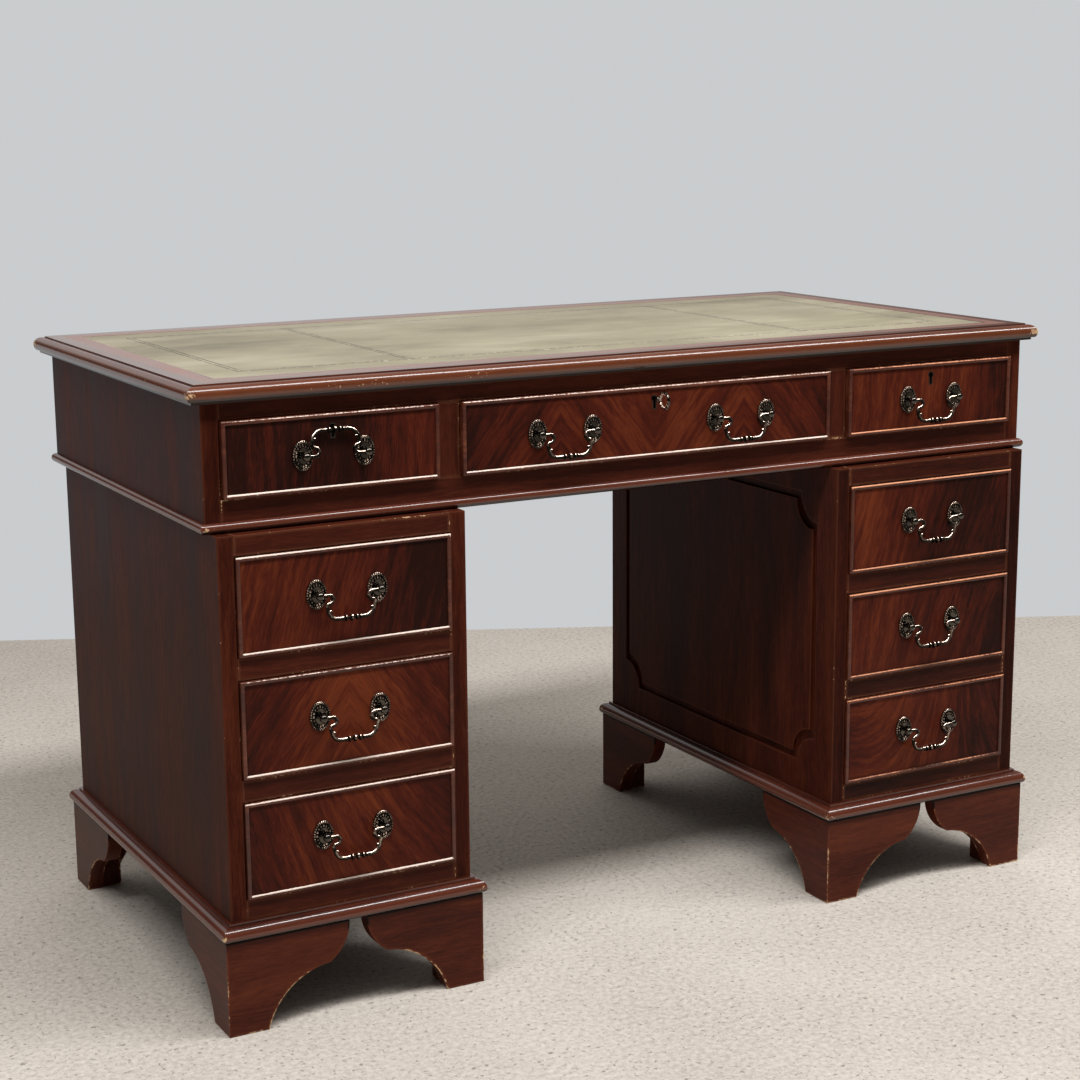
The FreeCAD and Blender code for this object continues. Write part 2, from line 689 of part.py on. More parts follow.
class Lock:
    """A drawer lock let into the back of an upper drawer's front, in the drawer's own frame."""

    def __init__(self, kind):
        self.field = -D.upper_drawer_proud
        self.back = self.field + D.front_thickness
        self.top = D.upper_drawer_height - D.bolt_clearance
        self.axis = D.upper_drawer_height - D.keyhole_drop
        self.kind = kind
        self.wide = across(D.lock_width / 2)
        self.deep = (self.back - D.lock_depth, self.back)
        self.tall = (self.top - D.lock_height, self.top)

    def cuts(self):
        """What the drawer front loses to the lock, the keyhole and the escutcheon."""
        housing = box(f"{self.kind}_housing", self.wide, (self.deep[0], self.back + D.overrun),
                      (self.tall[0], D.upper_drawer_height + D.overrun))
        through = self.deep[0] - self.field + D.overrun * 2
        start = self.field - D.overrun
        return [housing,
                keyhole(f"{self.kind}_keyhole", ZERO, start, through, self.axis),
                keyhole(f"{self.kind}_inlay", D.escutcheon_wall, start,
                        D.escutcheon_depth + D.overrun, self.axis)]

    def fittings(self):
        """The brass round the keyhole and the hollow lock case."""
        outer = keyhole(f"{self.kind}_escutcheon_blank", D.escutcheon_wall, self.field,
                        D.escutcheon_depth, self.axis)
        inner = keyhole(f"{self.kind}_escutcheon_hole", ZERO, self.field - D.overrun,
                        D.escutcheon_depth + D.overrun * 2, self.axis)
        wall = D.lock_wall
        case = box(f"{self.kind}_case_blank", self.wide, self.deep, self.tall)
        hollow = box(f"{self.kind}_case_hollow", across(D.lock_width / 2 - wall),
                     (self.deep[0] + wall, self.deep[1] - wall), (self.tall[0] + wall, self.top - wall))
        slot = box(f"{self.kind}_case_slot", across(D.bolt_width / 2 + D.bolt_clearance),
                   bolt_depths(ZERO, D.bolt_clearance), (self.top - wall * 2, self.top + D.overrun))
        entry = rod(f"{self.kind}_case_entry", "y", D.key_radius + D.pin_clearance,
                    wall + D.overrun * 2, y=self.deep[0] - D.overrun, z=self.axis)
        return [cut(f"{self.kind}_escutcheon", outer, inner),
                cut(f"{self.kind}_lock_case", case, hollow, slot, entry)]

    def bolt(self):
        return box(f"{self.kind}_bolt", across(D.bolt_width / 2), bolt_depths(ZERO),
                   (self.top - D.bolt_height, self.top))

    def key(self):
        """Shaft, bit, collar and a round bow, standing in the lock."""
        middle = self.back - D.lock_depth / 2
        bow_middle = self.field - D.key_bow_out
        shaft_start = bow_middle + D.key_bow_radius
        shaft = rod("key_shaft", "y", D.key_radius, middle + D.key_bit_height / 2 - shaft_start,
                    y=shaft_start, z=self.axis)
        bit = box("key_bit", across(D.key_bit_width / 2), across(D.key_bit_height / 2, middle),
                  (self.axis - D.key_bit_length, self.axis))
        collar = ball("key_collar", D.key_collar_radius, y=self.field - D.key_collar_out, z=self.axis)
        bow = bind(doc.addObject("Part::Torus", "key_bow"), Radius1=D.key_bow_radius,
                   Radius2=D.key_bow_thickness)
        put(bow, y=bow_middle, z=self.axis, turn=ALONG["x"])
        return fuse("key", shaft, bit, collar, bow)


def rounded(name, ring, front):
    """The ring with the edges of its front face rounded."""
    doc.recompute()
    soft = doc.addObject("Part::Fillet", name)
    soft.Base = ring
    near = front.value + D.cockbead_nose.value / 2
    radius = D.cockbead_rounding.value
    soft.Edges = [(number, radius, radius) for number, edge in enumerate(ring.Shape.Edges, start=1)
                  if edge.BoundBox.YMax < near]
    return soft


def build_drawer(kind, width, height, depth, proud, pivot_height, handles, mount, lock=None):
    """A drawer in its own frame: x = 0 its middle, y = 0 the rails' face, z = 0 its lower edge."""
    field, half = -proud, width / 2
    back = field + D.front_thickness
    bead = D.cockbead_width
    bead_deep = (field - D.cockbead_nose, field + D.cockbead_depth)
    ring = cut(f"{kind}_bead_blank", box(f"{kind}_bead_outer", across(half), bead_deep, (ZERO, height)),
               box(f"{kind}_bead_inner", across(half - bead),
                   (bead_deep[0] - D.overrun, bead_deep[1] + D.overrun), (bead, height - bead)))
    cuts = [ring] + (lock.cuts() if lock else [])
    mounts = []
    for number, handle in enumerate(handles):
        for side, sign in SIDES:
            x = handle + D.handle_spacing / 2 * sign
            name = f"{kind}_{number}_{side}"
            cuts.append(rod(f"{name}_hole", "y", D.shank_radius + D.shank_clearance,
                            D.front_thickness + D.overrun * 2, x, field - D.overrun, pivot_height))
            turn = Rotation(Vector(0, 1, 0), 0 if sign < 0 else 180)
            mounts.append(copy(f"{name}_mount", mount, x, field, pivot_height, turn))
    blank = box(f"{kind}_front_blank", across(half), (field, back), (ZERO, height))
    front = group(f"{kind}_front", cut(f"{kind}_front_board", blank, *cuts),
                  rounded(f"{kind}_cockbead", ring, bead_deep[0]))
    thick, outer = D.drawer_side_thickness, half - D.drawer_side_relief
    inner = outer - thick
    side_top = height - D.drawer_side_drop
    rear = depth - D.back_thickness - D.drawer_back_gap
    floor = D.drawer_bottom_lift + D.drawer_bottom_thickness
    body = group(f"{kind}_box",
                 box(f"{kind}_left_side", (-outer, -inner), (back, rear), (ZERO, side_top)),
                 box(f"{kind}_right_side", (inner, outer), (back, rear), (ZERO, side_top)),
                 box(f"{kind}_rear", across(inner), (rear - thick, rear),
                     (floor, side_top - D.drawer_back_drop)),
                 box(f"{kind}_floor", across(inner), (back, rear), (D.drawer_bottom_lift, floor)))
    fittings = group(f"{kind}_fittings", *mounts, *(lock.fittings() if lock else []))
    return {"front": front, "box": body, "fittings": fittings}


def build_drawers():
    """Nine drawers of three kinds, with their bails, the key and the lock bolt."""
    mount, bail = build_handle_mount(), build_bail()
    side_lock, centre_lock = Lock("end_lock"), Lock("middle_lock")
    upper = (D.upper_drawer_height, D.upper_depth, D.upper_drawer_proud, D.upper_pivot_height)
    side = build_drawer("end_drawer", D.side_drawer_width, *upper, [ZERO], mount, side_lock)
    pair = [-D.centre_handle_offset, D.centre_handle_offset]
    centre = build_drawer("middle_drawer", D.centre_drawer_width, *upper, pair, mount, centre_lock)
    pedestal = build_drawer("deep_drawer", D.pedestal_drawer_width, D.pedestal_drawer_height,
                            D.pedestal_depth, D.pedestal_drawer_proud, D.pedestal_pivot_height,
                            [ZERO], mount)
    upper_pivot = upper_face - D.upper_drawer_proud - D.pivot_standoff
    upper_bail = upper_drawer_floor + D.upper_pivot_height
    for name, kind, x in (("left_upper_drawer", side, -side_drawer_middle), ("centre_drawer", centre, ZERO),
                          ("right_upper_drawer", side, side_drawer_middle)):
        place_drawer(name, kind, x, upper_face, upper_drawer_floor)
    raised = copy("raised_bail", bail, -side_drawer_middle, upper_pivot, upper_bail,
                  Rotation(Vector(-1, 0, 0), D.bail_raised_angle.value))
    raised.setExpression("Placement.Rotation.Angle", D.bail_raised_angle.text)
    node("left_upper_drawer_bail", raised)
    for name, x in (("centre_drawer_left_bail", pair[0]), ("centre_drawer_right_bail", pair[1]),
                    ("right_upper_drawer_bail", side_drawer_middle)):
        node(name, copy(f"hung_{name}", bail, x, upper_pivot, upper_bail))
    node("centre_drawer_key", copy("placed_key", centre_lock.key(), ZERO, upper_face, upper_drawer_floor))
    node("centre_lock_bolt", copy("placed_bolt", centre_lock.bolt(), ZERO, upper_face, upper_drawer_floor))
    pedestal_pivot = pedestal_face - D.pedestal_drawer_proud - D.pivot_standoff
    for hand, sign in SIDES:
        x = pedestal_middle * sign
        for level in (1, 2, 3):
            name = f"{hand}_pedestal_drawer_{level}"
            z = first_drawer + drawer_pitch * (3 - level)
            place_drawer(name, pedestal, x, pedestal_face, z)
            node(f"{name}_bail", copy(f"hung_{name}", bail, x, pedestal_pivot, z + D.pedestal_pivot_height))


def place_drawer(name, kind, x, y, z):
    for piece, master in kind.items():
        node(f"{name}_{piece}", copy(f"{name}_{piece}_copy", master, x, y, z))


def check_and_write():
    """Refuses a failed feature or a bad solid, then writes one file for each sub-part."""
    doc.recompute()
    failed = [thing.Label for thing in doc.Objects if {"Invalid", "Error"} & set(thing.State)]
    bad = [part.Label for part in nodes if part.Shape.isNull() or not part.Shape.isValid()]
    if failed or bad:
        raise RuntimeError(f"failed features {failed}, bad shapes {bad}")
    os.makedirs("parts", exist_ok=True)
    for part in nodes:
        part.Shape.exportStep(f"parts/{part.Label}.step")


build_top()
build_upper_section()
build_pedestals()
build_plinths_and_feet()
build_drawers()
check_and_write()
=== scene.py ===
import json
import math
import random

import bmesh
import bpy
from mathutils import Matrix, Vector

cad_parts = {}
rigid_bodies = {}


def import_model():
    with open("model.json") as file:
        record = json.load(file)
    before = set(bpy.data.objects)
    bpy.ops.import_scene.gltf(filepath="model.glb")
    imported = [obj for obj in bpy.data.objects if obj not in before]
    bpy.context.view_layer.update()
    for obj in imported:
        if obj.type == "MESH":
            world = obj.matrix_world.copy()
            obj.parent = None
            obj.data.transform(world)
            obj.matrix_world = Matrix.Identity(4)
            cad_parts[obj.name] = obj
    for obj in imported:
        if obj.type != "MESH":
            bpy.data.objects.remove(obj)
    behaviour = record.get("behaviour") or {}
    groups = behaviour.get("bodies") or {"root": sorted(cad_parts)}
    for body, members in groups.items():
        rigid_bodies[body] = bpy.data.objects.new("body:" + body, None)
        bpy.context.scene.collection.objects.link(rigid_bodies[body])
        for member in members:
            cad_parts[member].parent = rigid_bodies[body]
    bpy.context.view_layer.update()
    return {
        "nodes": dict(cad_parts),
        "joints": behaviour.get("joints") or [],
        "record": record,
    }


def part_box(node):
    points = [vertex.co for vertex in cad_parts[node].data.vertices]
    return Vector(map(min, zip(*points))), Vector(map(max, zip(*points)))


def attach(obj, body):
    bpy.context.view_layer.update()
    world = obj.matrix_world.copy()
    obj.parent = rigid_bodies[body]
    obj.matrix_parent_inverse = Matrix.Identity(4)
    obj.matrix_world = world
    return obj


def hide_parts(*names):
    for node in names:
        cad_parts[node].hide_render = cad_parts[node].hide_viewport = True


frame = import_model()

MM = 0.001
dice = random.Random(7)
BODY_OF = {node: body for body, nodes in frame["record"]["behaviour"]["bodies"].items() for node in nodes}
PARENT = {joint["child"]: joint["parent"] for joint in frame["joints"]}
PIVOT = {joint["child"]: Vector(joint["pos_m"]) for joint in frame["joints"] if "pos_m" in joint}
BAILS = [body for body in PIVOT if body.endswith("_bail")]
RAISED_BAIL = "left_upper_drawer_bail"


# Nodes of materials

class Paint:
    """The node tree of a material or of the world, with short calls that add to it."""

    def __init__(self, owner):
        owner.use_nodes = True
        self.owner, self.tree = owner, owner.node_tree
        self.shader = self.tree.nodes.get("Principled BSDF")

    def node(self, kind, inputs=(), **settings):
        made = self.tree.nodes.new(f"ShaderNode{kind}")
        for name, value in settings.items():
            setattr(made, name, value)
        for place, value in dict(inputs).items():
            self.feed(made.inputs[place], value)
        return made

    def feed(self, socket, value):
        if isinstance(value, bpy.types.NodeSocket):
            self.tree.links.new(value, socket)
        elif socket.type == "RGBA":
            socket.default_value = (*value, 1)
        else:
            socket.default_value = value

    def surface(self, inputs):
        for name, value in inputs.items():
            self.feed(self.shader.inputs[name], value)
        return self.owner

    def place(self):
        return self.node("TexCoord").outputs["Object"]

    def attribute(self, name, output="Fac"):
        return self.node("Attribute", attribute_name=name).outputs[output]

    def stretched(self, vector, *shares):
        return self.node("VectorMath", {0: vector, 1: shares}, operation="MULTIPLY").outputs[0]

    def shifted(self, vector, other):
        return self.node("VectorMath", {0: vector, 1: other}, operation="ADD").outputs[0]

    def toward(self, vector, direction):
        return self.node("VectorMath", {0: vector, 1: direction}, operation="DOT_PRODUCT").outputs["Value"]

    def noise(self, vector, scale=1.0, detail=2.0, roughness=0.5, output="Fac"):
        inputs = {"Vector": vector, "Scale": scale, "Detail": detail, "Roughness": roughness}
        return self.node("TexNoise", inputs).outputs[output]

    def sum(self, operation, first, second=0.0, third=0.0):
        return self.node("Math", {0: first, 1: second, 2: third}, operation=operation).outputs[0]

    def total(self, start, *terms):
        """A start plus each value times its share."""
        for value, share in terms:
            start = self.sum("MULTIPLY_ADD", value, share, start)
        return start

    def step(self, value, low, high):
        """0 below low, 1 above high, smooth between."""
        inputs = {"Value": value, "From Min": low, "From Max": high}
        return self.node("MapRange", inputs, interpolation_type="SMOOTHSTEP").outputs[0]

    def ramp(self, value, *stops):
        made = self.node("ValToRGB", {0: value})
        elements = made.color_ramp.elements
        while len(elements) < len(stops):
            elements.new(0.5)
        for element, (position, colour) in zip(elements, stops):
            element.position, element.color = position, (*colour, 1)
        return made.outputs[0]

    def mix(self, share, first, second):
        made = self.node("Mix", data_type="RGBA")
        for place, value in ((0, share), (6, first), (7, second)):
            self.feed(made.inputs[place], value)
        return made.outputs[2]

    def bump(self, height, depth, strength):
        inputs = {"Height": height, "Distance": depth, "Strength": strength}
        self.feed(self.shader.inputs["Normal"], self.node("Bump", inputs).outputs[0])

    def rays(self):
        """1 for rays from the camera, and 1 for rays that come by way of a mirror or through glass."""
        kinds = self.node("LightPath").outputs
        mirrored = self.sum("MAXIMUM", kinds["Is Glossy Ray"], kinds["Is Transmission Ray"])
        return kinds["Is Camera Ray"], mirrored


# Materials

# The second colour is near-black grime, which also paints shade into hollow corners and onto undersides.
PALE_WOOD, GRIME_AND_SHADE_COLOUR = (0.62, 0.40, 0.22), (0.008, 0.004, 0.003)
# Turns per metre of the grain's noises, along the grain and twice across it
SWAY, BANDS, FLAMES = (7, 12, 12), (2, 18, 18), (14, 120, 120)
STREAKS, FINE_STREAKS = (9, 240, 240), (60, 750, 750)
SWAY_WIDTH, WEAR_PATCHES_PER_METRE, WOOD_RELIEF = 24 * MM, 16, 0.4 * MM


def wood(name, dark, middle, light, figure=0.15, spread=0.17, gloss=0.36, shine=0.2, rub=None,
         bare=1.45, breaks=1.6, nicks_per_metre=330, worn=PALE_WOOD):
    """Polished wood along the piece's own grain, worn through where its edge value passes bare."""
    paint = Paint(bpy.data.materials.new(name))
    edge, place = paint.attribute("edge"), paint.place()
    streaks, bands, level = grain_noises(paint, figure)
    colour = paint.ramp(level, (0.5 - spread, dark), (0.5, middle), (0.5 + spread, light))
    # Painted shade with grime: negative edge values darken the wood toward near black.
    colour = paint.mix(paint.step(edge, -0.2, -1.0), colour, GRIME_AND_SHADE_COLOUR)
    nicks = paint.noise(place, nicks_per_metre, 3, 0.65)
    patches = paint.noise(place, WEAR_PATCHES_PER_METRE, 2)
    rubbed = paint.step(paint.total(-0.5, (edge, 1.0), (patches, 1.0)), 0.1, 1.0)
    colour = paint.mix(paint.sum("MULTIPLY", rubbed, 0.6), colour, rub or light)
    damage = paint.total(edge, (nicks, 1.2 * breaks), (patches, 0.7 * breaks))
    limit = bare + 0.95 * breaks
    chipped = paint.step(damage, limit, limit + 0.06)
    colour = paint.mix(chipped, colour, worn)
    paint.bump(paint.total(0.0, (streaks, 0.2), (chipped, -1.0)), WOOD_RELIEF, 0.4)
    rough = paint.total(gloss - 0.08, (bands, 0.16), (chipped, 0.3))
    return paint.surface({"Base Color": colour, "Roughness": rough, "Specular IOR Level": shine})


def grain_noises(paint, figure):
    """A wood's streaks, its bands and its level from dark to light, of which flames have a share."""
    grain, tone = paint.attribute("grain", "Vector"), paint.attribute("tone")
    sway = paint.noise(paint.stretched(grain, *SWAY), detail=3, output="Color")
    sway = paint.shifted(sway, (-0.5, -0.5, -0.5))
    wavy = paint.shifted(grain, paint.stretched(sway, 0, SWAY_WIDTH, SWAY_WIDTH))
    fine = paint.noise(paint.stretched(wavy, *FINE_STREAKS), detail=2, roughness=0.6)
    streaks = paint.noise(paint.stretched(wavy, *STREAKS), detail=4, roughness=0.6)
    bands = paint.noise(paint.stretched(wavy, *BANDS), detail=2)
    flames = paint.noise(paint.stretched(wavy, *FLAMES), detail=3, roughness=0.55)
    plain = (0.75 - figure) / 2
    shares = (fine, 0.25), (streaks, 0.75 * plain), (bands, 1.25 * plain), (flames, figure)
    return streaks, bands, paint.total(tone, *shares)


HIDE_DARK, HIDE_MIDDLE, HIDE_LIGHT = (0.175, 0.15, 0.09), (0.312, 0.27, 0.177), (0.435, 0.388, 0.275)
INK, GILT = (0.035, 0.028, 0.02), (0.85, 0.78, 0.6)
TOOLING_INSET, TOOLING_GAP, TOOLING_CROSS = 46 * MM, 6.5 * MM, 293 * MM
LINE_EDGE, LINE_CORE, LEATHER_RELIEF = 1.4 * MM, 0.7 * MM, 0.5 * MM
GILT_FADES, GILT_WHOLE = 100 * MM, 30 * MM


def leather(name, half_width, half_depth, centre):
    """Faded olive hide with rubbed streaks and tooled lines, which keep flecks of gilt near the front."""
    paint = Paint(bpy.data.materials.new(name))
    place = paint.place()
    blotches = paint.noise(paint.stretched(place, 4, 7, 7), detail=4, roughness=0.6)
    smears = paint.noise(paint.stretched(place, 9, 32, 32), detail=4, roughness=0.6)
    grit = paint.noise(place, 600, 3, 0.7)
    tone = paint.total(0.05, (blotches, 0.45), (smears, 0.2), (grit, 0.25))
    colour = paint.ramp(tone, (0.38, HIDE_DARK), (0.5, HIDE_MIDDLE), (0.62, HIDE_LIGHT))
    parts = paint.node("SeparateXYZ", {0: paint.shifted(place, (0, -centre, 0))}).outputs
    lines = tooled_lines(paint, parts, half_width - TOOLING_INSET, half_depth - TOOLING_INSET)
    dashes = paint.step(paint.noise(place, 190, 3), 0.4, 0.48)
    inked = paint.sum("MULTIPLY", lines, dashes)
    colour = paint.mix(paint.sum("MULTIPLY", inked, 0.95), colour, INK)
    in_front = paint.step(parts[1], GILT_FADES - half_depth, GILT_WHOLE - half_depth)
    flecks = paint.step(paint.noise(place, 240, 1), 0.6, 0.66)
    gilded = paint.sum("MULTIPLY", flecks, paint.sum("MULTIPLY", lines, in_front))
    colour = paint.mix(gilded, colour, GILT)
    paint.bump(paint.total(0.0, (grit, 0.25), (lines, -1.0)), LEATHER_RELIEF, 0.6)
    rough = paint.total(0.36, (smears, 0.3))
    return paint.surface({"Base Color": colour, "Roughness": rough, "Specular IOR Level": 0.4})


def tooled_lines(paint, parts, half_width, half_depth):
    """Pairs of lines round a field, and across it at two places."""
    sideways, inward = (paint.sum("ABSOLUTE", parts[axis]) for axis in (0, 1))
    outside = paint.sum("MAXIMUM", paint.sum("SUBTRACT", sideways, half_width),
                        paint.sum("SUBTRACT", inward, half_depth))
    between = paint.sum("LESS_THAN", inward, half_depth)
    lines = 0.0
    for offset in (0, TOOLING_GAP):
        for distance, where in ((outside, 1.0), (paint.sum("SUBTRACT", sideways, TOOLING_CROSS), between)):
            away = paint.sum("ABSOLUTE", paint.sum("ADD", distance, offset))
            line = paint.sum("MULTIPLY", paint.step(away, LINE_EDGE, LINE_CORE), where)
            lines = paint.sum("MAXIMUM", line, lines)
    return lines


METAL_RELIEF, LACQUER_ROUGHNESS = 0.04 * MM, 0.06


def metal(name, bright, tarnish, roughness=0.25, lacquer=0.0):
    """Old metal, bright where hands rub it and dark in its hollows, with or without a clear lacquer; on a
    bail the hollow value also paints a highlight on one side and shade on the other.
    """
    paint = Paint(bpy.data.materials.new(name))
    place, hollow = paint.place(), paint.attribute("hollow")
    patches, specks = paint.noise(place, 90, 3, 0.5), paint.noise(place, 1100, 2)
    # Tarnish in hollows and patches; on a bail this also carries painted highlight and painted shade.
    tarnish_and_shade = paint.step(paint.total(0.0, (hollow, 0.6), (patches, 1.0)), 0.5, 0.8)
    colour = paint.mix(tarnish_and_shade, bright, tarnish)
    paint.bump(specks, METAL_RELIEF, 0.2)
    rough = paint.total(roughness - 0.04, (specks, 0.08), (tarnish_and_shade, 0.2))
    return paint.surface({"Base Color": colour, "Roughness": rough, "Metallic": 1.0, "Coat Weight": lacquer,
                          "Coat Roughness": LACQUER_ROUGHNESS})


# Shapes

SHADED_SHARP, ARRIS_ANGLE, RUNS_ON, FLAT = (math.radians(angle) for angle in (38, 30, 20, 0.5))
# Values of a point's edge: on a clear face, on a worn arris, in a hollow corner with grime and painted
# shade, and on an underside with dust and painted shade
CLEAR, WORN, GRIMY_AND_SHADED, DUSTY_AND_SHADED = 0.0, 1.0, -1.0, -0.75
SAME_PLACE_DIGITS, SAME_WAY = 6, 0.01


class Shape:
    """A mesh under way; each point has its nearness to an edge, its place in the grain and its tone."""

    def __init__(self):
        self.points, self.faces, self.edge, self.grain, self.tone = [], [], [], [], []

    def take(self, bm, edge, grain, tone=None):
        """Adds a closed mesh in the order of its places; edge, grain and tone give a point's values."""
        bm.normal_update()
        ordered = sorted(bm.verts, key=lambda vertex: vertex.co[:])
        number = {vertex: len(self.points) + count for count, vertex in enumerate(ordered)}
        for vertex in ordered:
            self.points.append(vertex.co.copy())
            self.edge.append(edge(vertex))
            self.grain.append(grain(vertex.co))
            self.tone.append(tone(vertex.co) if tone else 0.0)
        rings = [[number[vertex] for vertex in face.verts] for face in bm.faces]
        self.faces += sorted(lowest_first(ring) for ring in rings)
        bm.free()

    def object(self, name, material):
        mesh = bpy.data.meshes.new(name)
        mesh.from_pydata(self.points, [], self.faces)
        for label, values in (("edge", self.edge), ("tone", self.tone)):
            mesh.attributes.new(label, "FLOAT", "POINT").data.foreach_set("value", values)
        grain = mesh.attributes.new("grain", "FLOAT_VECTOR", "POINT")
        grain.data.foreach_set("vector", [number for place in self.grain for number in place])
        return smooth_object(name, mesh, material)


def lowest_first(ring):
    """The same ring of numbers, begun at its lowest."""
    start = ring.index(min(ring))
    return ring[start:] + ring[:start]


def smooth_object(name, mesh, material):
    """An object whose curves are shaded smoothly and whose arrises stay sharp."""
    if not mesh.materials:
        mesh.materials.append(material)
    mesh.shade_smooth()
    mesh.set_sharp_from_angle(angle=SHADED_SHARP)
    made = bpy.data.objects.new(name, mesh)
    bpy.context.scene.collection.objects.link(made)
    made.modifiers.new("even_normals", "WEIGHTED_NORMAL").keep_sharp = True
    return made


def solids(node):
    """The triangles of each closed solid of a CAD node: a solid ends where every edge has met its twin."""
    mesh = frame["nodes"][node].data
    mesh.calc_loop_triangles()
    places = [tuple(round(number, SAME_PLACE_DIGITS) for number in vertex.co) for vertex in mesh.vertices]
    found, triangles, waiting = [], [], set()
    for triangle in mesh.loop_triangles:
        corners = [places[vertex] for vertex in triangle.vertices]
        triangles.append(corners)
        for edge in zip(corners, corners[1:] + corners[:1]):
            twin = edge[::-1]
            if twin in waiting:
                waiting.remove(twin)
            else:
                waiting.add(edge)
        if not waiting:
            found.append(triangles)
            triangles = []
    return found


def whole_faces(triangles):
    """A mesh of one solid with each flat face in one piece."""
    bm = bmesh.new()
    made = {}
    for corner in (corner for corners in triangles for corner in corners):
        if corner not in made:
            made[corner] = bm.verts.new(corner)
    for corners in triangles:
        if len(set(corners)) == 3:
            bm.faces.new([made[corner] for corner in corners])
    bm.normal_update()
    bmesh.ops.dissolve_limit(bm, angle_limit=FLAT, verts=bm.verts, edges=bm.edges)
    return bm


def is_mitre(face):
    """True for an upright face at half a right angle to x and y."""
    return abs(abs(face.normal.x) - abs(face.normal.y)) < SAME_WAY and abs(face.normal.z) < SAME_WAY


def eased(bm, width):
    """Rounds the outer arrises, but not those of a mitre, and gives the new faces."""
    sharp = [edge for edge in bm.edges if edge.is_convex and edge.calc_face_angle() > ARRIS_ANGLE
             and not any(is_mitre(face) for face in edge.link_faces)]
    return set(bmesh.ops.bevel(bm, geom=sharp, offset=width, offset_type="OFFSET", segments=2, profile=0.5,
                               affect="EDGES", clamp_overlap=True)["faces"])


def inner_corners(bm):
    """The points where faces meet in a hollow corner."""
    return {vertex for edge in bm.edges for vertex in edge.verts
            if edge.is_manifold and not edge.is_convex and edge.calc_face_angle() > ARRIS_ANGLE}


def smooth_regions(bm, apart):
    """Groups of faces that run into each other without an arris."""
    left = dict.fromkeys(face for face in bm.faces if face not in apart)
    while left:
        region, waiting = [], [left.popitem()[0]]
        while waiting:
            face = waiting.pop()
            region.append(face)
            for edge in face.edges:
                for other in edge.link_faces:
                    if other in left and edge.is_manifold and edge.calc_face_angle() < RUNS_ON:
                        del left[other]
                        waiting.append(other)
        yield region


def has_border(region, corners):
    """False for a mitre and for the floor of a groove, whose points all lie in hollow corners."""
    on_floor = all(vertex in corners for face in region for vertex in face.verts)
    return not on_floor and not is_mitre(region[0])


BORDER_SHARE = 0.3


def bordered(bm, apart, margin, corners):
    """Adds a border inside every arris, save on groove floors and mitres, and gives the points inside."""
    clear = set()
    for region in [region for region in smooth_regions(bm, apart) if has_border(region, corners)]:
        rim = sum(edge.calc_length() for face in region for edge in face.edges
                  if sum(other in region for other in edge.link_faces) == 1)
        width = 2 * sum(face.calc_area() for face in region) / max(rim, 1e-9)
        bmesh.ops.inset_region(bm, faces=region, thickness=min(margin, width * BORDER_SHARE),
                               use_even_offset=True, use_boundary=True)
        clear.update(vertex for face in region for vertex in face.verts)
    return clear


def sliced(bm, axis, places):
    """Cuts the faces across at places along an axis, without parting them."""
    normal = Vector([float(number == axis) for number in range(3)])
    for place in places:
        everything = [*bm.verts, *bm.edges, *bm.faces]
        bmesh.ops.bisect_plane(bm, geom=everything, dist=1e-6, plane_co=normal * place, plane_no=normal)


# The order of a point's numbers for grain along an axis: along the grain, then twice across it
AXES = {"x": (0, 1, 2), "y": (1, 0, 2), "z": (2, 0, 1)}


def along(axis, offset):
    """The place in the grain of a point, for grain that runs along an axis."""
    order = AXES[axis]
    return lambda point: [point[number] + shift for number, shift in zip(order, offset)]


def random_offset():
    return [dice.uniform(-1, 1) for _ in range(3)]


def extent(bm):
    """The lowest and the highest corner of a mesh."""
    columns = [[vertex.co[axis] for vertex in bm.verts] for axis in range(3)]
    return Vector([min(column) for column in columns]), Vector([max(column) for column in columns])


def longest(bm):
    """The axis along which a mesh is longest."""
    low, high = extent(bm)
    size = list(high - low)
    return "xyz"[size.index(max(size))]


def join_up(piece, node):
    """Puts a piece on the body of the node that it stands for."""
    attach(piece, BODY_OF[node])
    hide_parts(node)


def timber(node, material, axis=None, ease=0.7 * MM, margin=4 * MM, cuts=(),
           wear=lambda height: WORN, tone=None):
    """A CAD node's boards with eased edges, each with its own run of the grain; wear may go by height."""
    shape = Shape()

    def edge(vertex):
        if vertex in clear:
            return CLEAR
        # Hollow corners are darkened with grime and painted shade.
        return GRIMY_AND_SHADED if vertex in corners else wear(vertex.co.z)

    for triangles in solids(node):
        bm = whole_faces(triangles)
        sliced(bm, 2, cuts)
        run = along(axis or longest(bm), random_offset())
        corners = inner_corners(bm)
        clear = bordered(bm, eased(bm, ease) if ease else set(), margin, corners)
        shape.take(bm, edge, run, tone)
    join_up(shape.object(f"{node}_wood", material), node)


TIP_REACH, TIP_WEAR, UNDERSIDE, LENGTHS_PER_FRAME = 26 * MM, 0.75, -0.35, 4


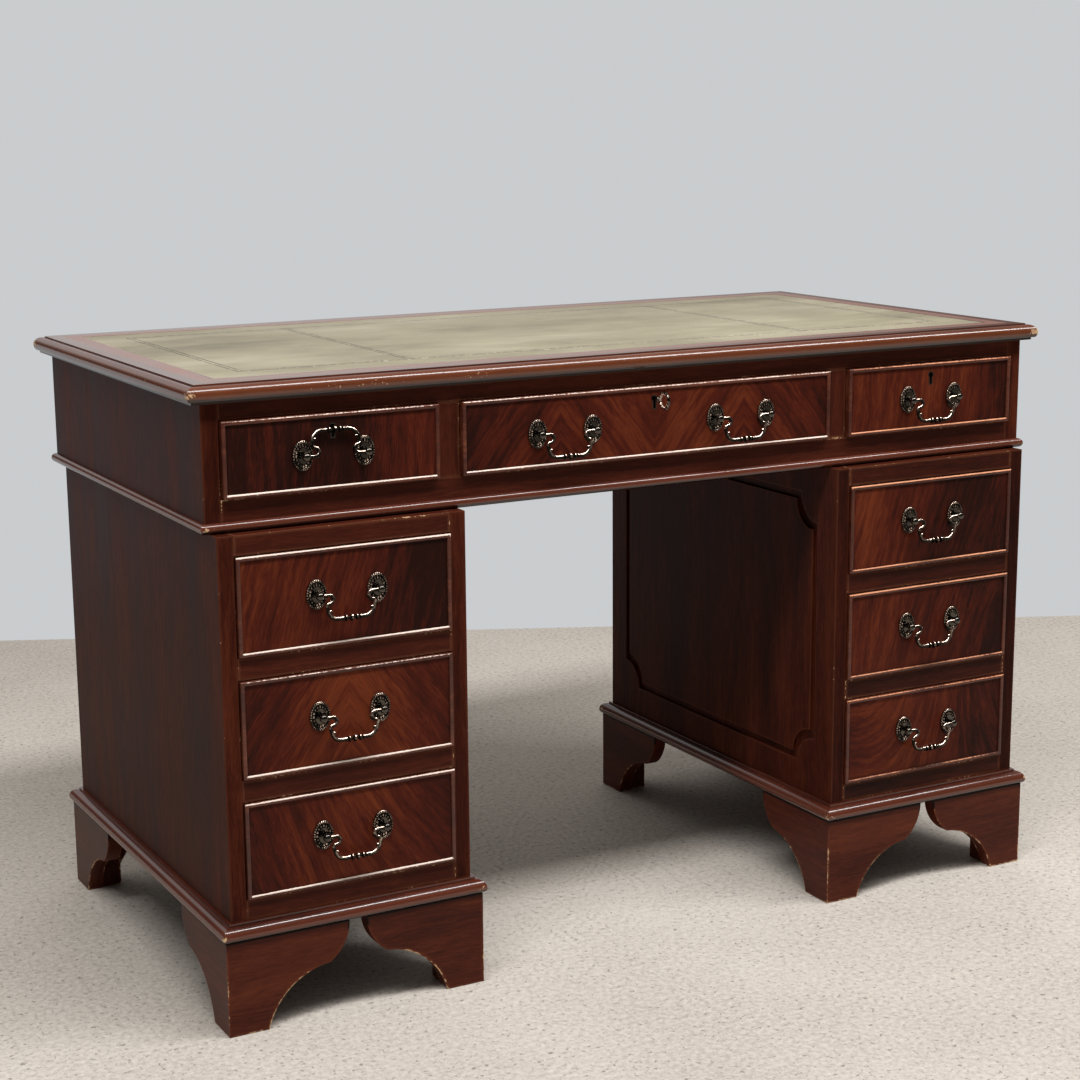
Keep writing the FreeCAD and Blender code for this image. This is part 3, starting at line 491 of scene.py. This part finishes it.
def moulding(node, material, reach, joint=0.3 * MM):
    """Mitred lengths of a moulding, worn along the nose, with dust and painted shade below and along the
    inner joint.
    """
    shape, found = Shape(), [whole_faces(triangles) for triangles in solids(node)]
    for first in range(0, len(found), LENGTHS_PER_FRAME):
        runs = found[first:first + LENGTHS_PER_FRAME]
        corners = [corner for bm in runs for corner in extent(bm)]
        low, high = ([pick(corner[axis] for corner in corners) for axis in range(3)] for pick in (min, max))
        depth = max(min(inside(vertex.co, low, high)) for bm in runs for vertex in bm.verts)

        def edge(vertex):
            # Undersides and the inner joint take the dark value of dust and painted shade.
            if vertex.normal.z < UNDERSIDE or min(inside(vertex.co, low, high)) > depth - joint / 2:
                return DUSTY_AND_SHADED
            return nearness(vertex.co, low, high, reach)

        for bm in runs:
            axis = longest(bm)
            lengthwise, across, _ = AXES[axis]
            start, end = (corner[lengthwise] for corner in extent(bm))
            sliced(bm, lengthwise, (start + TIP_REACH, end - TIP_REACH))
            sliced(bm, across, (low[across] + depth - joint, high[across] - depth + joint))
            shape.take(bm, edge, along(axis, random_offset()))
    join_up(shape.object(f"{node}_wood", material), node)


def inside(point, low, high):
    """How far a point lies inside the upright sides of a box, along x and along y."""
    return [min(point[axis] - low[axis], high[axis] - point[axis]) for axis in (0, 1)]


def nearness(point, low, high, reach):
    """1 on a box's upright sides, falling to 0 at a distance inside them, and more at its four corners."""
    least, most = sorted(inside(point, low, high))
    nose = max(0.0, 1 - least / reach)
    tip = max(0.0, 1 - most / TIP_REACH)
    return nose * (1 + TIP_WEAR * tip)


# Camera, light and floor

CAMERA_PLACE = Vector((-1.39751, -2.5412, 1.07993))
YAW, PITCH, ROLL = (math.radians(angle) for angle in (28.6395, 11.7576, -0.4570))
SENSOR_WIDTH, FOCAL_PIXELS, PHOTO_PIXELS = 36, 2152.84, 1080


def build_camera():
    """The photograph's view: its place and angles, found from the desk's own corners."""
    forward = Vector((math.sin(YAW) * math.cos(PITCH), math.cos(YAW) * math.cos(PITCH), -math.sin(PITCH)))
    level = Vector((math.cos(YAW), -math.sin(YAW), 0))
    upright = level.cross(forward)
    right = level * math.cos(ROLL) + upright * math.sin(ROLL)
    up = upright * math.cos(ROLL) - level * math.sin(ROLL)
    data = bpy.data.cameras.new("camera")
    data.sensor_width, data.lens = SENSOR_WIDTH, SENSOR_WIDTH * FOCAL_PIXELS / PHOTO_PIXELS
    camera = bpy.data.objects.new("camera", data)
    turn = Matrix((right, up, -forward)).transposed().to_4x4()
    camera.matrix_world = Matrix.Translation(CAMERA_PLACE) @ turn
    bpy.context.scene.collection.objects.link(camera)
    bpy.context.scene.camera = camera


WALL, WALL_WAY, WALL_BLUR = (0.59, 0.605, 0.62), (0.2, 0.85, 0.49), 4 * MM
WALL_START, WALL_END = Vector((-0.295, 1.682)), Vector((1.630, 0.782))
ROOM_TINT, ROOM_DIM, ROOM_ABOVE, ROOM_BEHIND = (1.0, 0.98, 0.95), 0.05, 0.3, 0.8
STRIP_PLACE, STRIP_AIM = Vector((0.2, -1.2, 2.8)), Vector((0.2, 0, 0.4))
STRIP_SIZE, STRIP_POWER = (5.0, 0.4), 112


def build_room():
    """A dim room, brighter above and toward its back wall, which is pale."""
    paint = Paint(bpy.data.worlds.new("room"))
    bpy.context.scene.world = paint.owner
    way = paint.node("TexCoord").outputs["Generated"]
    above = paint.step(paint.toward(way, (0, 0, 1)), 0.2, 1.0)
    facing_wall = paint.toward(way, WALL_WAY)
    behind = paint.step(facing_wall, 0.8, 0.95)
    strength = paint.total(ROOM_DIM, (above, ROOM_ABOVE), (behind, ROOM_BEHIND))
    room = paint.node("Background", {"Color": ROOM_TINT, "Strength": strength})
    backdrop = paint.node("Background", {"Color": WALL})
    from_camera, mirrored = paint.rays()
    mirrored_wall = paint.sum("MULTIPLY", mirrored, paint.step(facing_wall, 0.9, 0.97))
    seen = paint.sum("MAXIMUM", from_camera, mirrored_wall)
    choose = paint.node("MixShader", {0: seen, 1: room.outputs[0], 2: backdrop.outputs[0]})
    paint.feed(paint.tree.nodes["World Output"].inputs["Surface"], choose.outputs[0])


def build_lamp():
    """A long strip lamp above the front of the desk."""
    lamp = bpy.data.lights.new("strip", "AREA")
    lamp.shape, lamp.energy = "RECTANGLE", STRIP_POWER
    lamp.size, lamp.size_y = STRIP_SIZE
    holder = bpy.data.objects.new("strip", lamp)
    holder.location = STRIP_PLACE
    holder.rotation_euler = (STRIP_AIM - STRIP_PLACE).to_track_quat("-Z", "Y").to_euler()
    bpy.context.scene.collection.objects.link(holder)


FLOOR_DARK, FLOOR_MIDDLE, FLOOR_LIGHT = (0.45, 0.4, 0.345), (0.66, 0.6, 0.535), (0.82, 0.76, 0.685)
FLOOR_PIT, FLOOR_REACH, FLOOR_DROP = (0.15, 0.13, 0.115), 40, 0.5 * MM


def concrete(name):
    """Pale concrete with fine pits that turns into the even tone of the wall behind the desk."""
    paint = Paint(bpy.data.materials.new(name))
    place = paint.place()
    clouds, grains = paint.noise(place, 2.2, 4, 0.6), paint.noise(place, 130, 4, 0.75)
    level = paint.total(0.15, (grains, 0.5), (clouds, 0.2))
    colour = paint.ramp(level, (0.36, FLOOR_DARK), (0.5, FLOOR_MIDDLE), (0.64, FLOOR_LIGHT))
    pits = paint.step(paint.noise(place, 140, 3, 0.6), 0.6, 0.66)
    colour = paint.mix(paint.sum("MULTIPLY", pits, 0.6), colour, FLOOR_PIT)
    paint.surface({"Base Color": colour, "Roughness": 0.9, "Specular IOR Level": 0.02})
    direction = (WALL_END - WALL_START).normalized()
    outward = Vector((-direction.y, direction.x, 0))
    reach = outward.xy.dot(WALL_START)
    past_wall = paint.step(paint.toward(place, outward), reach - WALL_BLUR, reach + WALL_BLUR)
    beyond = paint.sum("MULTIPLY", past_wall, paint.sum("MAXIMUM", *paint.rays()))
    plain = paint.node("Emission", {"Color": WALL})
    choose = paint.node("MixShader", {0: beyond, 1: paint.shader.outputs[0], 2: plain.outputs[0]})
    paint.feed(paint.tree.nodes["Material Output"].inputs["Surface"], choose.outputs[0])
    return paint.owner


def build_floor():
    mesh = bpy.data.meshes.new("floor")
    corners = [(x * FLOOR_REACH, y * FLOOR_REACH, 0) for x, y in ((-1, -1), (1, -1), (1, 1), (-1, 1))]
    mesh.from_pydata(corners, [], [(0, 1, 2, 3)])
    mesh.materials.append(concrete("floor"))
    floor = bpy.data.objects.new("floor", mesh)
    floor.location.z = -FLOOR_DROP
    bpy.context.scene.collection.objects.link(floor)


# The desk

DARK, RED, WARM = (0.02, 0.0052, 0.0036), (0.062, 0.0122, 0.0062), (0.115, 0.026, 0.0105)
# The second and third colours are worn wood on the beads, pale enough to be a painted highlight as well.
BEAD_RED, ROSE_WEAR_AND_HIGHLIGHT, AMBER_WEAR_AND_HIGHLIGHT = (0.2, 0.055, 0.024), (0.92, 0.77, 0.67), (0.78, 0.34, 0.175)

carcase_wood = wood("mahogany_carcase", DARK, (0.05, 0.0098, 0.0051), (0.098, 0.0217, 0.0092),
                    spread=0.12, gloss=0.43, shine=0.045, rub=(0.105, 0.03, 0.015))
rail_wood = wood("mahogany_rails", DARK, RED, WARM,
                 shine=0.08, rub=(0.15, 0.05, 0.024), bare=1.2, nicks_per_metre=240)
foot_wood = wood("mahogany_feet", DARK, (0.078, 0.0155, 0.0075), (0.145, 0.034, 0.013),
                 shine=0.12, bare=1.18, nicks_per_metre=170)
plinth_wood = wood("mahogany_plinth", DARK, (0.085, 0.0185, 0.0095), (0.15, 0.036, 0.0155),
                   gloss=0.17, shine=0.7, bare=1.62, nicks_per_metre=200)
top_wood = wood("mahogany_top", (0.17, 0.061, 0.042), (0.228, 0.082, 0.053), (0.29, 0.109, 0.072),
                gloss=0.26, shine=1.0, bare=1.5)
edge_wood = wood("mahogany_edge", (0.042, 0.009, 0.0045), (0.098, 0.022, 0.008), (0.17, 0.045, 0.0135),
                 gloss=0.18, shine=0.75, rub=(0.155, 0.041, 0.0135), bare=1.43)
bead_wood = wood("mahogany_bead", DARK, RED, BEAD_RED,
                 gloss=0.3, shine=0.5, bare=0.62, breaks=0.5, worn=ROSE_WEAR_AND_HIGHLIGHT)
amber_bead_wood = wood("mahogany_amber_bead", DARK, RED, BEAD_RED,
                       gloss=0.3, shine=0.5, bare=0.62, breaks=0.5, worn=AMBER_WEAR_AND_HIGHLIGHT)
front_wood = wood("mahogany_figured", DARK, (0.078, 0.0128, 0.0062), (0.165, 0.034, 0.0115),
                  figure=0.34, spread=0.15, shine=0.08)
inner_wood = wood("drawer_lining", (0.16, 0.085, 0.04), (0.25, 0.15, 0.075), (0.33, 0.215, 0.12),
                  gloss=0.6)
# Painted shade with dust: the boards under the pedestals and the upper section are dark, so the space under
# the desk reads as shaded.
dusty_shaded_wood = wood("dusty_shaded_underside", (0.02, 0.011, 0.008), (0.04, 0.024, 0.015), (0.07, 0.042, 0.026),
                  gloss=0.7)
brass = metal("rubbed_brass", (0.83, 0.65, 0.53), (0.018, 0.015, 0.012), roughness=0.16)
dull_brass = metal("dull_brass", (0.055, 0.044, 0.03), (0.012, 0.01, 0.008), roughness=0.13, lacquer=1.0)
steel = metal("lock_steel", (0.45, 0.44, 0.42), (0.12, 0.1, 0.08))

FOOT_CHIPPED, FOOT_GRIMY_AND_SHADED = 62 * MM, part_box("left_bracket_feet")[1].z - 14 * MM
FOOT_WEAR, FOOT_TIP_WEAR = 0.9, 1.2


def foot_wear(height):
    """A foot is chipped most of all near the floor, and darkened with grime and painted shade where it
    meets the plinth.
    """
    if height > FOOT_GRIMY_AND_SHADED + MM:
        return GRIMY_AND_SHADED
    return FOOT_WEAR if height > FOOT_CHIPPED + MM else FOOT_TIP_WEAR


RIGHT_FRAME_FRONT, RIGHT_FRAME_DEPTH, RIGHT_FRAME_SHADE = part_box("right_pedestal_sides")[0].y, 3 * MM, -0.1


def shaded_frame_tone(point):
    """Painted shade: the face of the frame round the right pedestal's drawers is darker than the rest, as
    if the light fell off toward the right.
    """
    on_face = point.x > 0 and point.y < RIGHT_FRAME_FRONT + RIGHT_FRAME_DEPTH
    return RIGHT_FRAME_SHADE if on_face else 0.0


INNER_EASE, PANEL_MARGIN, RAIL_MARGIN = 0.4 * MM, 2.5 * MM, 2 * MM


def build_carcase():
    timber("upper_end_panels", carcase_wood, "z", margin=PANEL_MARGIN)
    timber("left_pedestal_sides", carcase_wood, "z", margin=PANEL_MARGIN)
    timber("right_pedestal_sides", carcase_wood, "z", margin=PANEL_MARGIN, tone=shaded_frame_tone)
    for node in ("upper_back_panel", "pedestal_back_panels"):
        timber(node, carcase_wood)
    timber("upper_rails", rail_wood, margin=RAIL_MARGIN)
    timber("upper_dividers", rail_wood)
    timber("pedestal_rails", rail_wood, tone=shaded_frame_tone)
    for node in ("left_bracket_feet", "right_bracket_feet"):
        timber(node, foot_wood, cuts=(FOOT_CHIPPED, FOOT_GRIMY_AND_SHADED), wear=foot_wear)
    timber("top_board", top_wood, ease=None)
    for node in ("upper_drawer_runners", "pedestal_drawer_runners"):
        timber(node, inner_wood, ease=INNER_EASE)
    for node in ("upper_bottom_board", "pedestal_boards"):
        timber(node, dusty_shaded_wood, ease=INNER_EASE)
    moulding("top_edge_moulding", edge_wood, reach=12 * MM, joint=2.2 * MM)
    moulding("upper_base_bead", plinth_wood, reach=5 * MM)
    moulding("plinth_mouldings", plinth_wood, reach=8 * MM)


def build_leather():
    low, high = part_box("leather_inset")
    half = (high - low) / 2
    hide = leather("tooled_leather", half.x, half.y, (low.y + high.y) / 2)
    shape = Shape()
    bm = whole_faces(solids("leather_inset")[0])
    eased(bm, INNER_EASE)
    shape.take(bm, lambda vertex: CLEAR, along("x", (0, 0, 0)))
    inset = shape.object("leather_writing_inset", hide)
    join_up(inset, "leather_inset")


# Drawers

# Shares of a bead's pale wear, which is also a painted highlight, on its upright sides, its head and its
# foot
BEAD_CORNER, BEAD_SIDE_WEAR_AND_HIGHLIGHT, BEAD_HEAD_WEAR_AND_HIGHLIGHT, BEAD_FOOT_WEAR_AND_HIGHLIGHT = 6 * MM, 0.6, 0.76, 1.0
# The end pieces of a bead, a little short of the cuts, whose own points count with its upright sides
BEAD_END = BEAD_CORNER * 0.99
NOSE_TURN, NOSE_TILT, NOSE_BELOW = 1.6, 0.3, 0.3
VENEER_CUTS, FIELD_TONE, FIELD_FADE, FADE_REACH = 16, 0.045, 0.19, 1.3


def build_drawers():
    """Streaks lean and curl by degrees; the lightest place and a leaf of veneer count in half widths."""
    build_drawer("left_upper_drawer", lean=4, lightest=1.4, head=0.73)
    build_drawer("centre_drawer", lean=38, lightest=0.1, leaf=0.5)
    build_drawer("right_upper_drawer", lean=6, lightest=-0.3, foot=0.9)
    build_drawer("left_pedestal_drawer_1", lean=14, lightest=-0.5, head=1.0)
    build_drawer("left_pedestal_drawer_2", lean=-34, lightest=0.1, leaf=1.0, head=0.71)
    build_drawer("left_pedestal_drawer_3", lean=-28, lightest=0.1, curl=-12, head=0.9)
    build_drawer("right_pedestal_drawer_1", lean=18, lightest=-0.9, head=1.0, foot=0.9)
    build_drawer("right_pedestal_drawer_2", lean=16, lightest=-0.6, curl=8, head=0.9, foot=0.8)
    build_drawer("right_pedestal_drawer_3", lean=18, lightest=-0.2, curl=-45, foot=0.7)


def build_drawer(drawer, lean, lightest, curl=0, leaf=None, head=BEAD_HEAD_WEAR_AND_HIGHLIGHT, foot=BEAD_FOOT_WEAR_AND_HIGHLIGHT):
    """One drawer's box, veneered front and bead; head and foot are how worn the bead is there, which also
    sets its painted highlight.
    """
    timber(f"{drawer}_box", inner_wood, ease=INNER_EASE)
    board, bead = (whole_faces(triangles) for triangles in solids(f"{drawer}_front"))
    field_face = extent(board)[0].y
    build_field(drawer, board, lean, lightest, curl, leaf)
    build_bead(drawer, bead, field_face, head, foot)


def build_field(drawer, board, lean, lightest, curl, leaf):
    low, high = extent(board)
    middle, half = (low + high) / 2, (high - low) / 2
    for axis, count in ((0, VENEER_CUTS), (2, VENEER_CUTS // 2)):
        sliced(board, axis, [low[axis] + half[axis] * 2 * number / count for number in range(1, count)])
    offset = random_offset()

    def grain(point):
        return veneer(point - middle, half.x, lean, curl, leaf, offset)

    def tone(point):
        away = abs((point.x - middle.x) / half.x - lightest) / FADE_REACH
        return FIELD_TONE - FIELD_FADE * min(1.0, away) ** 1.5

    shape = Shape()
    shape.take(board, lambda vertex: CLEAR, grain, tone)
    join_up(shape.object(f"{drawer}_veneer", front_wood), f"{drawer}_front")


def veneer(place, half, lean, curl, leaf, offset):
    """A point's place along and across the streaks; leaves of veneer are turned over like book pages."""
    x = place.x
    if leaf:
        x = abs((x + leaf * half) % (2 * leaf * half) - leaf * half)
    angle = math.radians(lean + curl * x / half)
    streak = x * math.sin(angle) + place.z * math.cos(angle)
    cross = x * math.cos(angle) - place.z * math.sin(angle)
    return streak + offset[0], cross + offset[1], place.y + offset[2]


def build_bead(drawer, bead, field_face, head, foot):
    low, high = extent(bead)
    for axis in (0, 2):
        sliced(bead, axis, (low[axis] + BEAD_CORNER, high[axis] - BEAD_CORNER))

    def wear(vertex):
        share = BEAD_SIDE_WEAR_AND_HIGHLIGHT
        if vertex.co.z - low.z < BEAD_END:
            share = foot
        if high.z - vertex.co.z < BEAD_END:
            share = head
        return share * worn_and_highlit_nose(vertex, field_face, field_face - low.y)

    shape = Shape()
    shape.take(bead, wear, along("x", random_offset()))
    bead_finish = amber_bead_wood if drawer.startswith("right") else bead_wood
    join_up(shape.object(f"{drawer}_cockbead", bead_finish), f"{drawer}_front")


def worn_and_highlit_nose(vertex, field_face, rise):
    """A bead is worn pale where it stands out from the field, most of all on its upper side, where the
    paleness is also a painted highlight.
    """
    proud = max(0.0, min(1.0, (field_face - vertex.co.y) / rise))
    # Painted highlight: the upward-facing part of the nose is paler.
    upward = max(0.0, min(1.0, vertex.normal.z * NOSE_TURN + NOSE_TILT))
    return proud ** 0.5 * (NOSE_BELOW + (1 - NOSE_BELOW) * upward)


# Brass

ROSETTE_WIDTH, ROSETTE_HEIGHT, ROSETTE_FACE, ROSETTE_SUNK = 25 * MM, 35 * MM, 10.7 * MM, 0.3 * MM
PETALS, PETAL_RISE, RIM_BEADS, RIM_RISE = 16, 1.4 * MM, 32, 1.35 * MM
# Shares of the way from a rosette's middle to its edge
PETAL_START, PETAL_END, RIM_END = 0.5, 0.83, 1.02
POINTS_PER_BEAD, PETAL_ROWS, RIM_ROWS = 5, 5, 6


def dress_metal():
    for node, thing in frame["nodes"].items():
        finish = None
        if node.endswith(("_fittings", "_key")):
            finish = dull_brass
        if node == "centre_lock_bolt":
            finish = steel
        if node == "locating_dowels":
            finish = inner_wood
        if finish:
            thing.data.materials.clear()
            thing.data.materials.append(finish)


def build_handles():
    rosette, hanging, raised = rosette_mesh(), bail_mesh(1), bail_mesh(-1)
    for name in BAILS:
        for side, sign in (("left", -1), ("right", 1)):
            ornament = smooth_object(f"{name}_{side}_rosette", rosette, brass)
            ornament.location = PIVOT[name] + Vector((sign * HANDLE_HALF, ROSETTE_FACE, 0))
            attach(ornament, PARENT[name])
        is_raised = name == RAISED_BAIL
        handle = smooth_object(f"{name}_wire", raised if is_raised else hanging, brass)
        handle.location = PIVOT[name]
        if is_raised:
            handle.rotation_euler.x = -RAISED_ANGLE
        join_up(handle, name)


def rosette_mesh():
    """Petals inside a beaded rim: a closed ring that lies on an oval plate and faces -y."""
    steps = RIM_BEADS * POINTS_PER_BEAD
    petal_width, rim_width = PETAL_END - PETAL_START, RIM_END - PETAL_END
    rows = [(PETAL_START, sunk)]
    rows += [(PETAL_START + petal_width * number / PETAL_ROWS, petal) for number in range(PETAL_ROWS + 1)]
    rows += [(PETAL_END + rim_width * number / RIM_ROWS, beaded) for number in range(1, RIM_ROWS + 1)]
    rows.append((RIM_END, sunk))
    points, hollow = [], []
    for share, form in rows:
        for step in range(steps):
            angle = math.tau * step / steps
            rise, depth = form(share, angle)
            x, z = math.cos(angle) * ROSETTE_WIDTH / 2, math.sin(angle) * ROSETTE_HEIGHT / 2
            points.append((x * share, -rise, z * share))
            hollow.append(depth)
    return ring_mesh("rosette", points, len(rows), steps, hollow)


def sunk(share, angle):
    """The rise and the hollow of a rosette's back, which lies in the plate."""
    return -ROSETTE_SUNK, 1.0


def petal(share, angle):
    """The rise and the hollow of the petals, which swell between the middle and the rim."""
    swell = math.sin(math.pi * (share - PETAL_START) / (PETAL_END - PETAL_START)) ** 0.5
    ridge = abs(math.cos(PETALS / 2 * angle))
    return PETAL_RISE * swell * ridge, 1 - 0.8 * swell * ridge


def beaded(share, angle):
    """The rise and the hollow of the rim, which is round across and beaded along."""
    across = (share - PETAL_END) / (RIM_END - PETAL_END) * 2 - 1
    ridge = abs(math.cos(RIM_BEADS / 2 * angle))
    return RIM_RISE * max(0.0, 1 - across ** 2) ** 0.5 * (0.4 + 0.6 * ridge), 0.8 - 0.6 * ridge


def ring_mesh(name, points, rows, steps, hollow):
    """Quads over rings of points, of which the last is joined to the first."""
    faces = []
    for row in range(rows):
        here, there = row * steps, (row + 1) % rows * steps
        for step in range(steps):
            beside = (step + 1) % steps
            faces.append((here + step, here + beside, there + beside, there + step))
    mesh = bpy.data.meshes.new(name)
    mesh.from_pydata(points, [], faces)
    mesh.attributes.new("hollow", "FLOAT", "POINT").data.foreach_set("value", hollow)
    fix = bmesh.new()
    fix.from_mesh(mesh)
    bmesh.ops.recalc_face_normals(fix, faces=fix.faces)
    fix.to_mesh(mesh)
    fix.free()
    return mesh


KEY_BEADS, KEY_BEAD_RADIUS = 12, 2.4 * MM


def build_key_beads():
    """A row of beads round the key's bow."""
    low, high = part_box("centre_drawer_key")
    reach = (high.z - low.z) / 2
    centre = Vector((0, low.y + reach, (low.z + high.z) / 2))
    bm = bmesh.new()
    for number in range(KEY_BEADS):
        turn = math.tau * number / KEY_BEADS
        place = centre + Vector((0, math.cos(turn), math.sin(turn))) * (reach - KEY_BEAD_RADIUS)
        spot = Matrix.Translation(place)
        bmesh.ops.create_icosphere(bm, subdivisions=2, radius=KEY_BEAD_RADIUS, matrix=spot)
    mesh = bpy.data.meshes.new("key_beads")
    bm.to_mesh(mesh)
    bm.free()
    beads = smooth_object("key_bow_beads", mesh, brass)
    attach(beads, "centre_drawer_key")


HANDLE_HALF, BAIL_DROP, BAIL_PIN = 38.5 * MM, 29 * MM, 11.3 * MM
CURL_RADIUS, NECK_RADIUS, CORNER_RADIUS, BAIL_LEAN = 5 * MM, 3 * MM, 12.5 * MM, 14
WIRE_RADIUS, WIRE_SWELL, SWELL_START, TUBE_SIDES = 2.4 * MM, 0.7 * MM, 0.6, 14
# The third and fourth numbers paint a bail's side that faces up bright as a highlight and the side that
# faces down dark as shade.
LEAST_STEPS, DEGREES_PER_STEP, SIDE_SHADE, LIT_SIDE_SHARE = 6, 12, 0.5, 0.9
RAISED_ANGLE = math.radians(195)
SCROLL_PLACE, SCROLL_RADIUS = Vector((26, 0, -19.5)) * MM, 2.3 * MM
KNOP_HALF, KNOP_GROOVE, KNOP_CORE = 12 * MM, 2.2 * MM, 1.4 * MM
# Half of the turned middle in millimetres: places outward from its centre, with the radius at each
MIDDLE_DISC = [(0, 4.75), (0.8, 4.7), (1.3, 4.1), (1.6, 2.1)]
INNER_GROOVE = [(2.2, 1.6), (3.2, 1.7), (4.0, 1.9), (4.8, 1.7), (5.4, 1.6)]
SIDE_DISC = [(5.7, 2.1), (6.0, 3.9), (6.8, 4.3), (7.6, 4.0), (7.9, 2.1)]
OUTER_GROOVE = [(8.6, 1.6), (9.4, 1.7), (9.9, 2.1)]
COLLAR = [(10.3, 3.1), (11.6, 3.1), (14.0, 2.5), (15.0, 1.8)]


def walked(place, heading, steps):
    """Points of a line in x and z made of straight runs (length, 0) and bends (radius, angle)."""
    points = [place]
    for size, bend in steps:
        count = max(LEAST_STEPS, int(abs(bend) / DEGREES_PER_STEP))
        turn = math.radians(bend) / count
        length = 2 * size * math.sin(abs(turn) / 2) if bend else size / count
        for _ in range(count):
            heading += turn / 2
            place = place + Vector((math.cos(heading), 0, math.sin(heading))) * length
            heading += turn / 2
            points.append(place)
    return points


def bail_line():
    """A bail's middle line: pin, curl, neck, leaning fall, corner and half the grip, then their mirror."""
    lean = math.radians(BAIL_LEAN)
    bends = CURL_RADIUS * 2 + NECK_RADIUS * (1 + math.sin(lean)) + CORNER_RADIUS * (1 - math.sin(lean))
    fall = (BAIL_DROP - bends) / math.cos(lean)
    half = walked(Vector((HANDLE_HALF, 0, 0)), math.pi,
                  [(BAIL_PIN, 0), (CURL_RADIUS, 180), (NECK_RADIUS, -90 - BAIL_LEAN), (fall, 0),
                   (CORNER_RADIUS, BAIL_LEAN - 90)])
    half += walked(half[-1], math.pi, [(half[-1].x, 0)])[1:]
    return half + [Vector((-point.x, 0, point.z)) for point in reversed(half[:-1])]


def wire_radius(point):
    """Even at the curls, swelling toward the middle of the grip, and thin inside the turned middle."""
    if abs(point.x) < KNOP_HALF:
        return KNOP_CORE
    low = max(0.0, -point.z / BAIL_DROP - SWELL_START) / (1 - SWELL_START)
    return WIRE_RADIUS + WIRE_SWELL * low * (1 - abs(point.x) / HANDLE_HALF)


def bail_mesh(rubbed):
    """A swan-neck bail that hangs from the origin; its upper (1) or lower (-1) side is painted bright as a
    highlight, and the opposite side painted dark as shade.
    """
    bm = bmesh.new()
    line = bail_line()
    tube(bm, line, [wire_radius(point) for point in line])
    knop = MIDDLE_DISC + INNER_GROOVE + SIDE_DISC + OUTER_GROOVE + COLLAR
    knop = [(-x, radius) for x, radius in reversed(knop[1:])] + knop
    tube(bm, [Vector((x * MM, 0, -BAIL_DROP)) for x, _ in knop], [radius * MM for _, radius in knop])
    for sign in (-1, 1):
        centre = Matrix.Translation((sign * SCROLL_PLACE.x, 0, SCROLL_PLACE.z))
        bmesh.ops.create_icosphere(bm, subdivisions=3, radius=SCROLL_RADIUS, matrix=centre)
    bmesh.ops.recalc_face_normals(bm, faces=bm.faces)
    bm.normal_update()
    hollow = bm.verts.layers.float.new("hollow")
    for vertex in bm.verts:
        off_axis = math.hypot(vertex.co.y, vertex.co.z + BAIL_DROP)
        in_groove = abs(vertex.co.x) < KNOP_HALF and off_axis < KNOP_GROOVE
        # Painted highlight and shade: one side of the wire is bright and the opposite side dark.
        painted_side_light = SIDE_SHADE - LIT_SIDE_SHARE * rubbed * vertex.normal.z
        vertex[hollow] = 1.0 if in_groove else max(0.0, min(1.0, painted_side_light))
    mesh = bpy.data.meshes.new("bail")
    bm.to_mesh(mesh)
    bm.free()
    return mesh


def tube(bm, line, radii):
    """A closed round tube along a line that lies in one plane across y."""
    turns = [math.tau * side / TUBE_SIDES for side in range(TUBE_SIDES)]
    rings = []
    for number, point in enumerate(line):
        ahead = line[min(number + 1, len(line) - 1)] - line[max(number - 1, 0)]
        across = ahead.normalized().cross(Vector((0, 1, 0)))
        spokes = [across * math.cos(turn) + Vector((0, math.sin(turn), 0)) for turn in turns]
        rings.append([bm.verts.new(point + spoke * radii[number]) for spoke in spokes])
    for ring, following in zip(rings, rings[1:]):
        for side in range(TUBE_SIDES):
            beside = (side + 1) % TUBE_SIDES
            bm.faces.new((ring[side], ring[beside], following[beside], following[side]))
    bm.faces.new(rings[0])
    bm.faces.new(rings[-1])


bpy.context.scene.view_settings.view_transform = "Standard"
build_camera()
build_room()
build_lamp()
build_floor()
build_carcase()
build_leather()
build_drawers()
dress_metal()
build_handles()
build_key_beads()
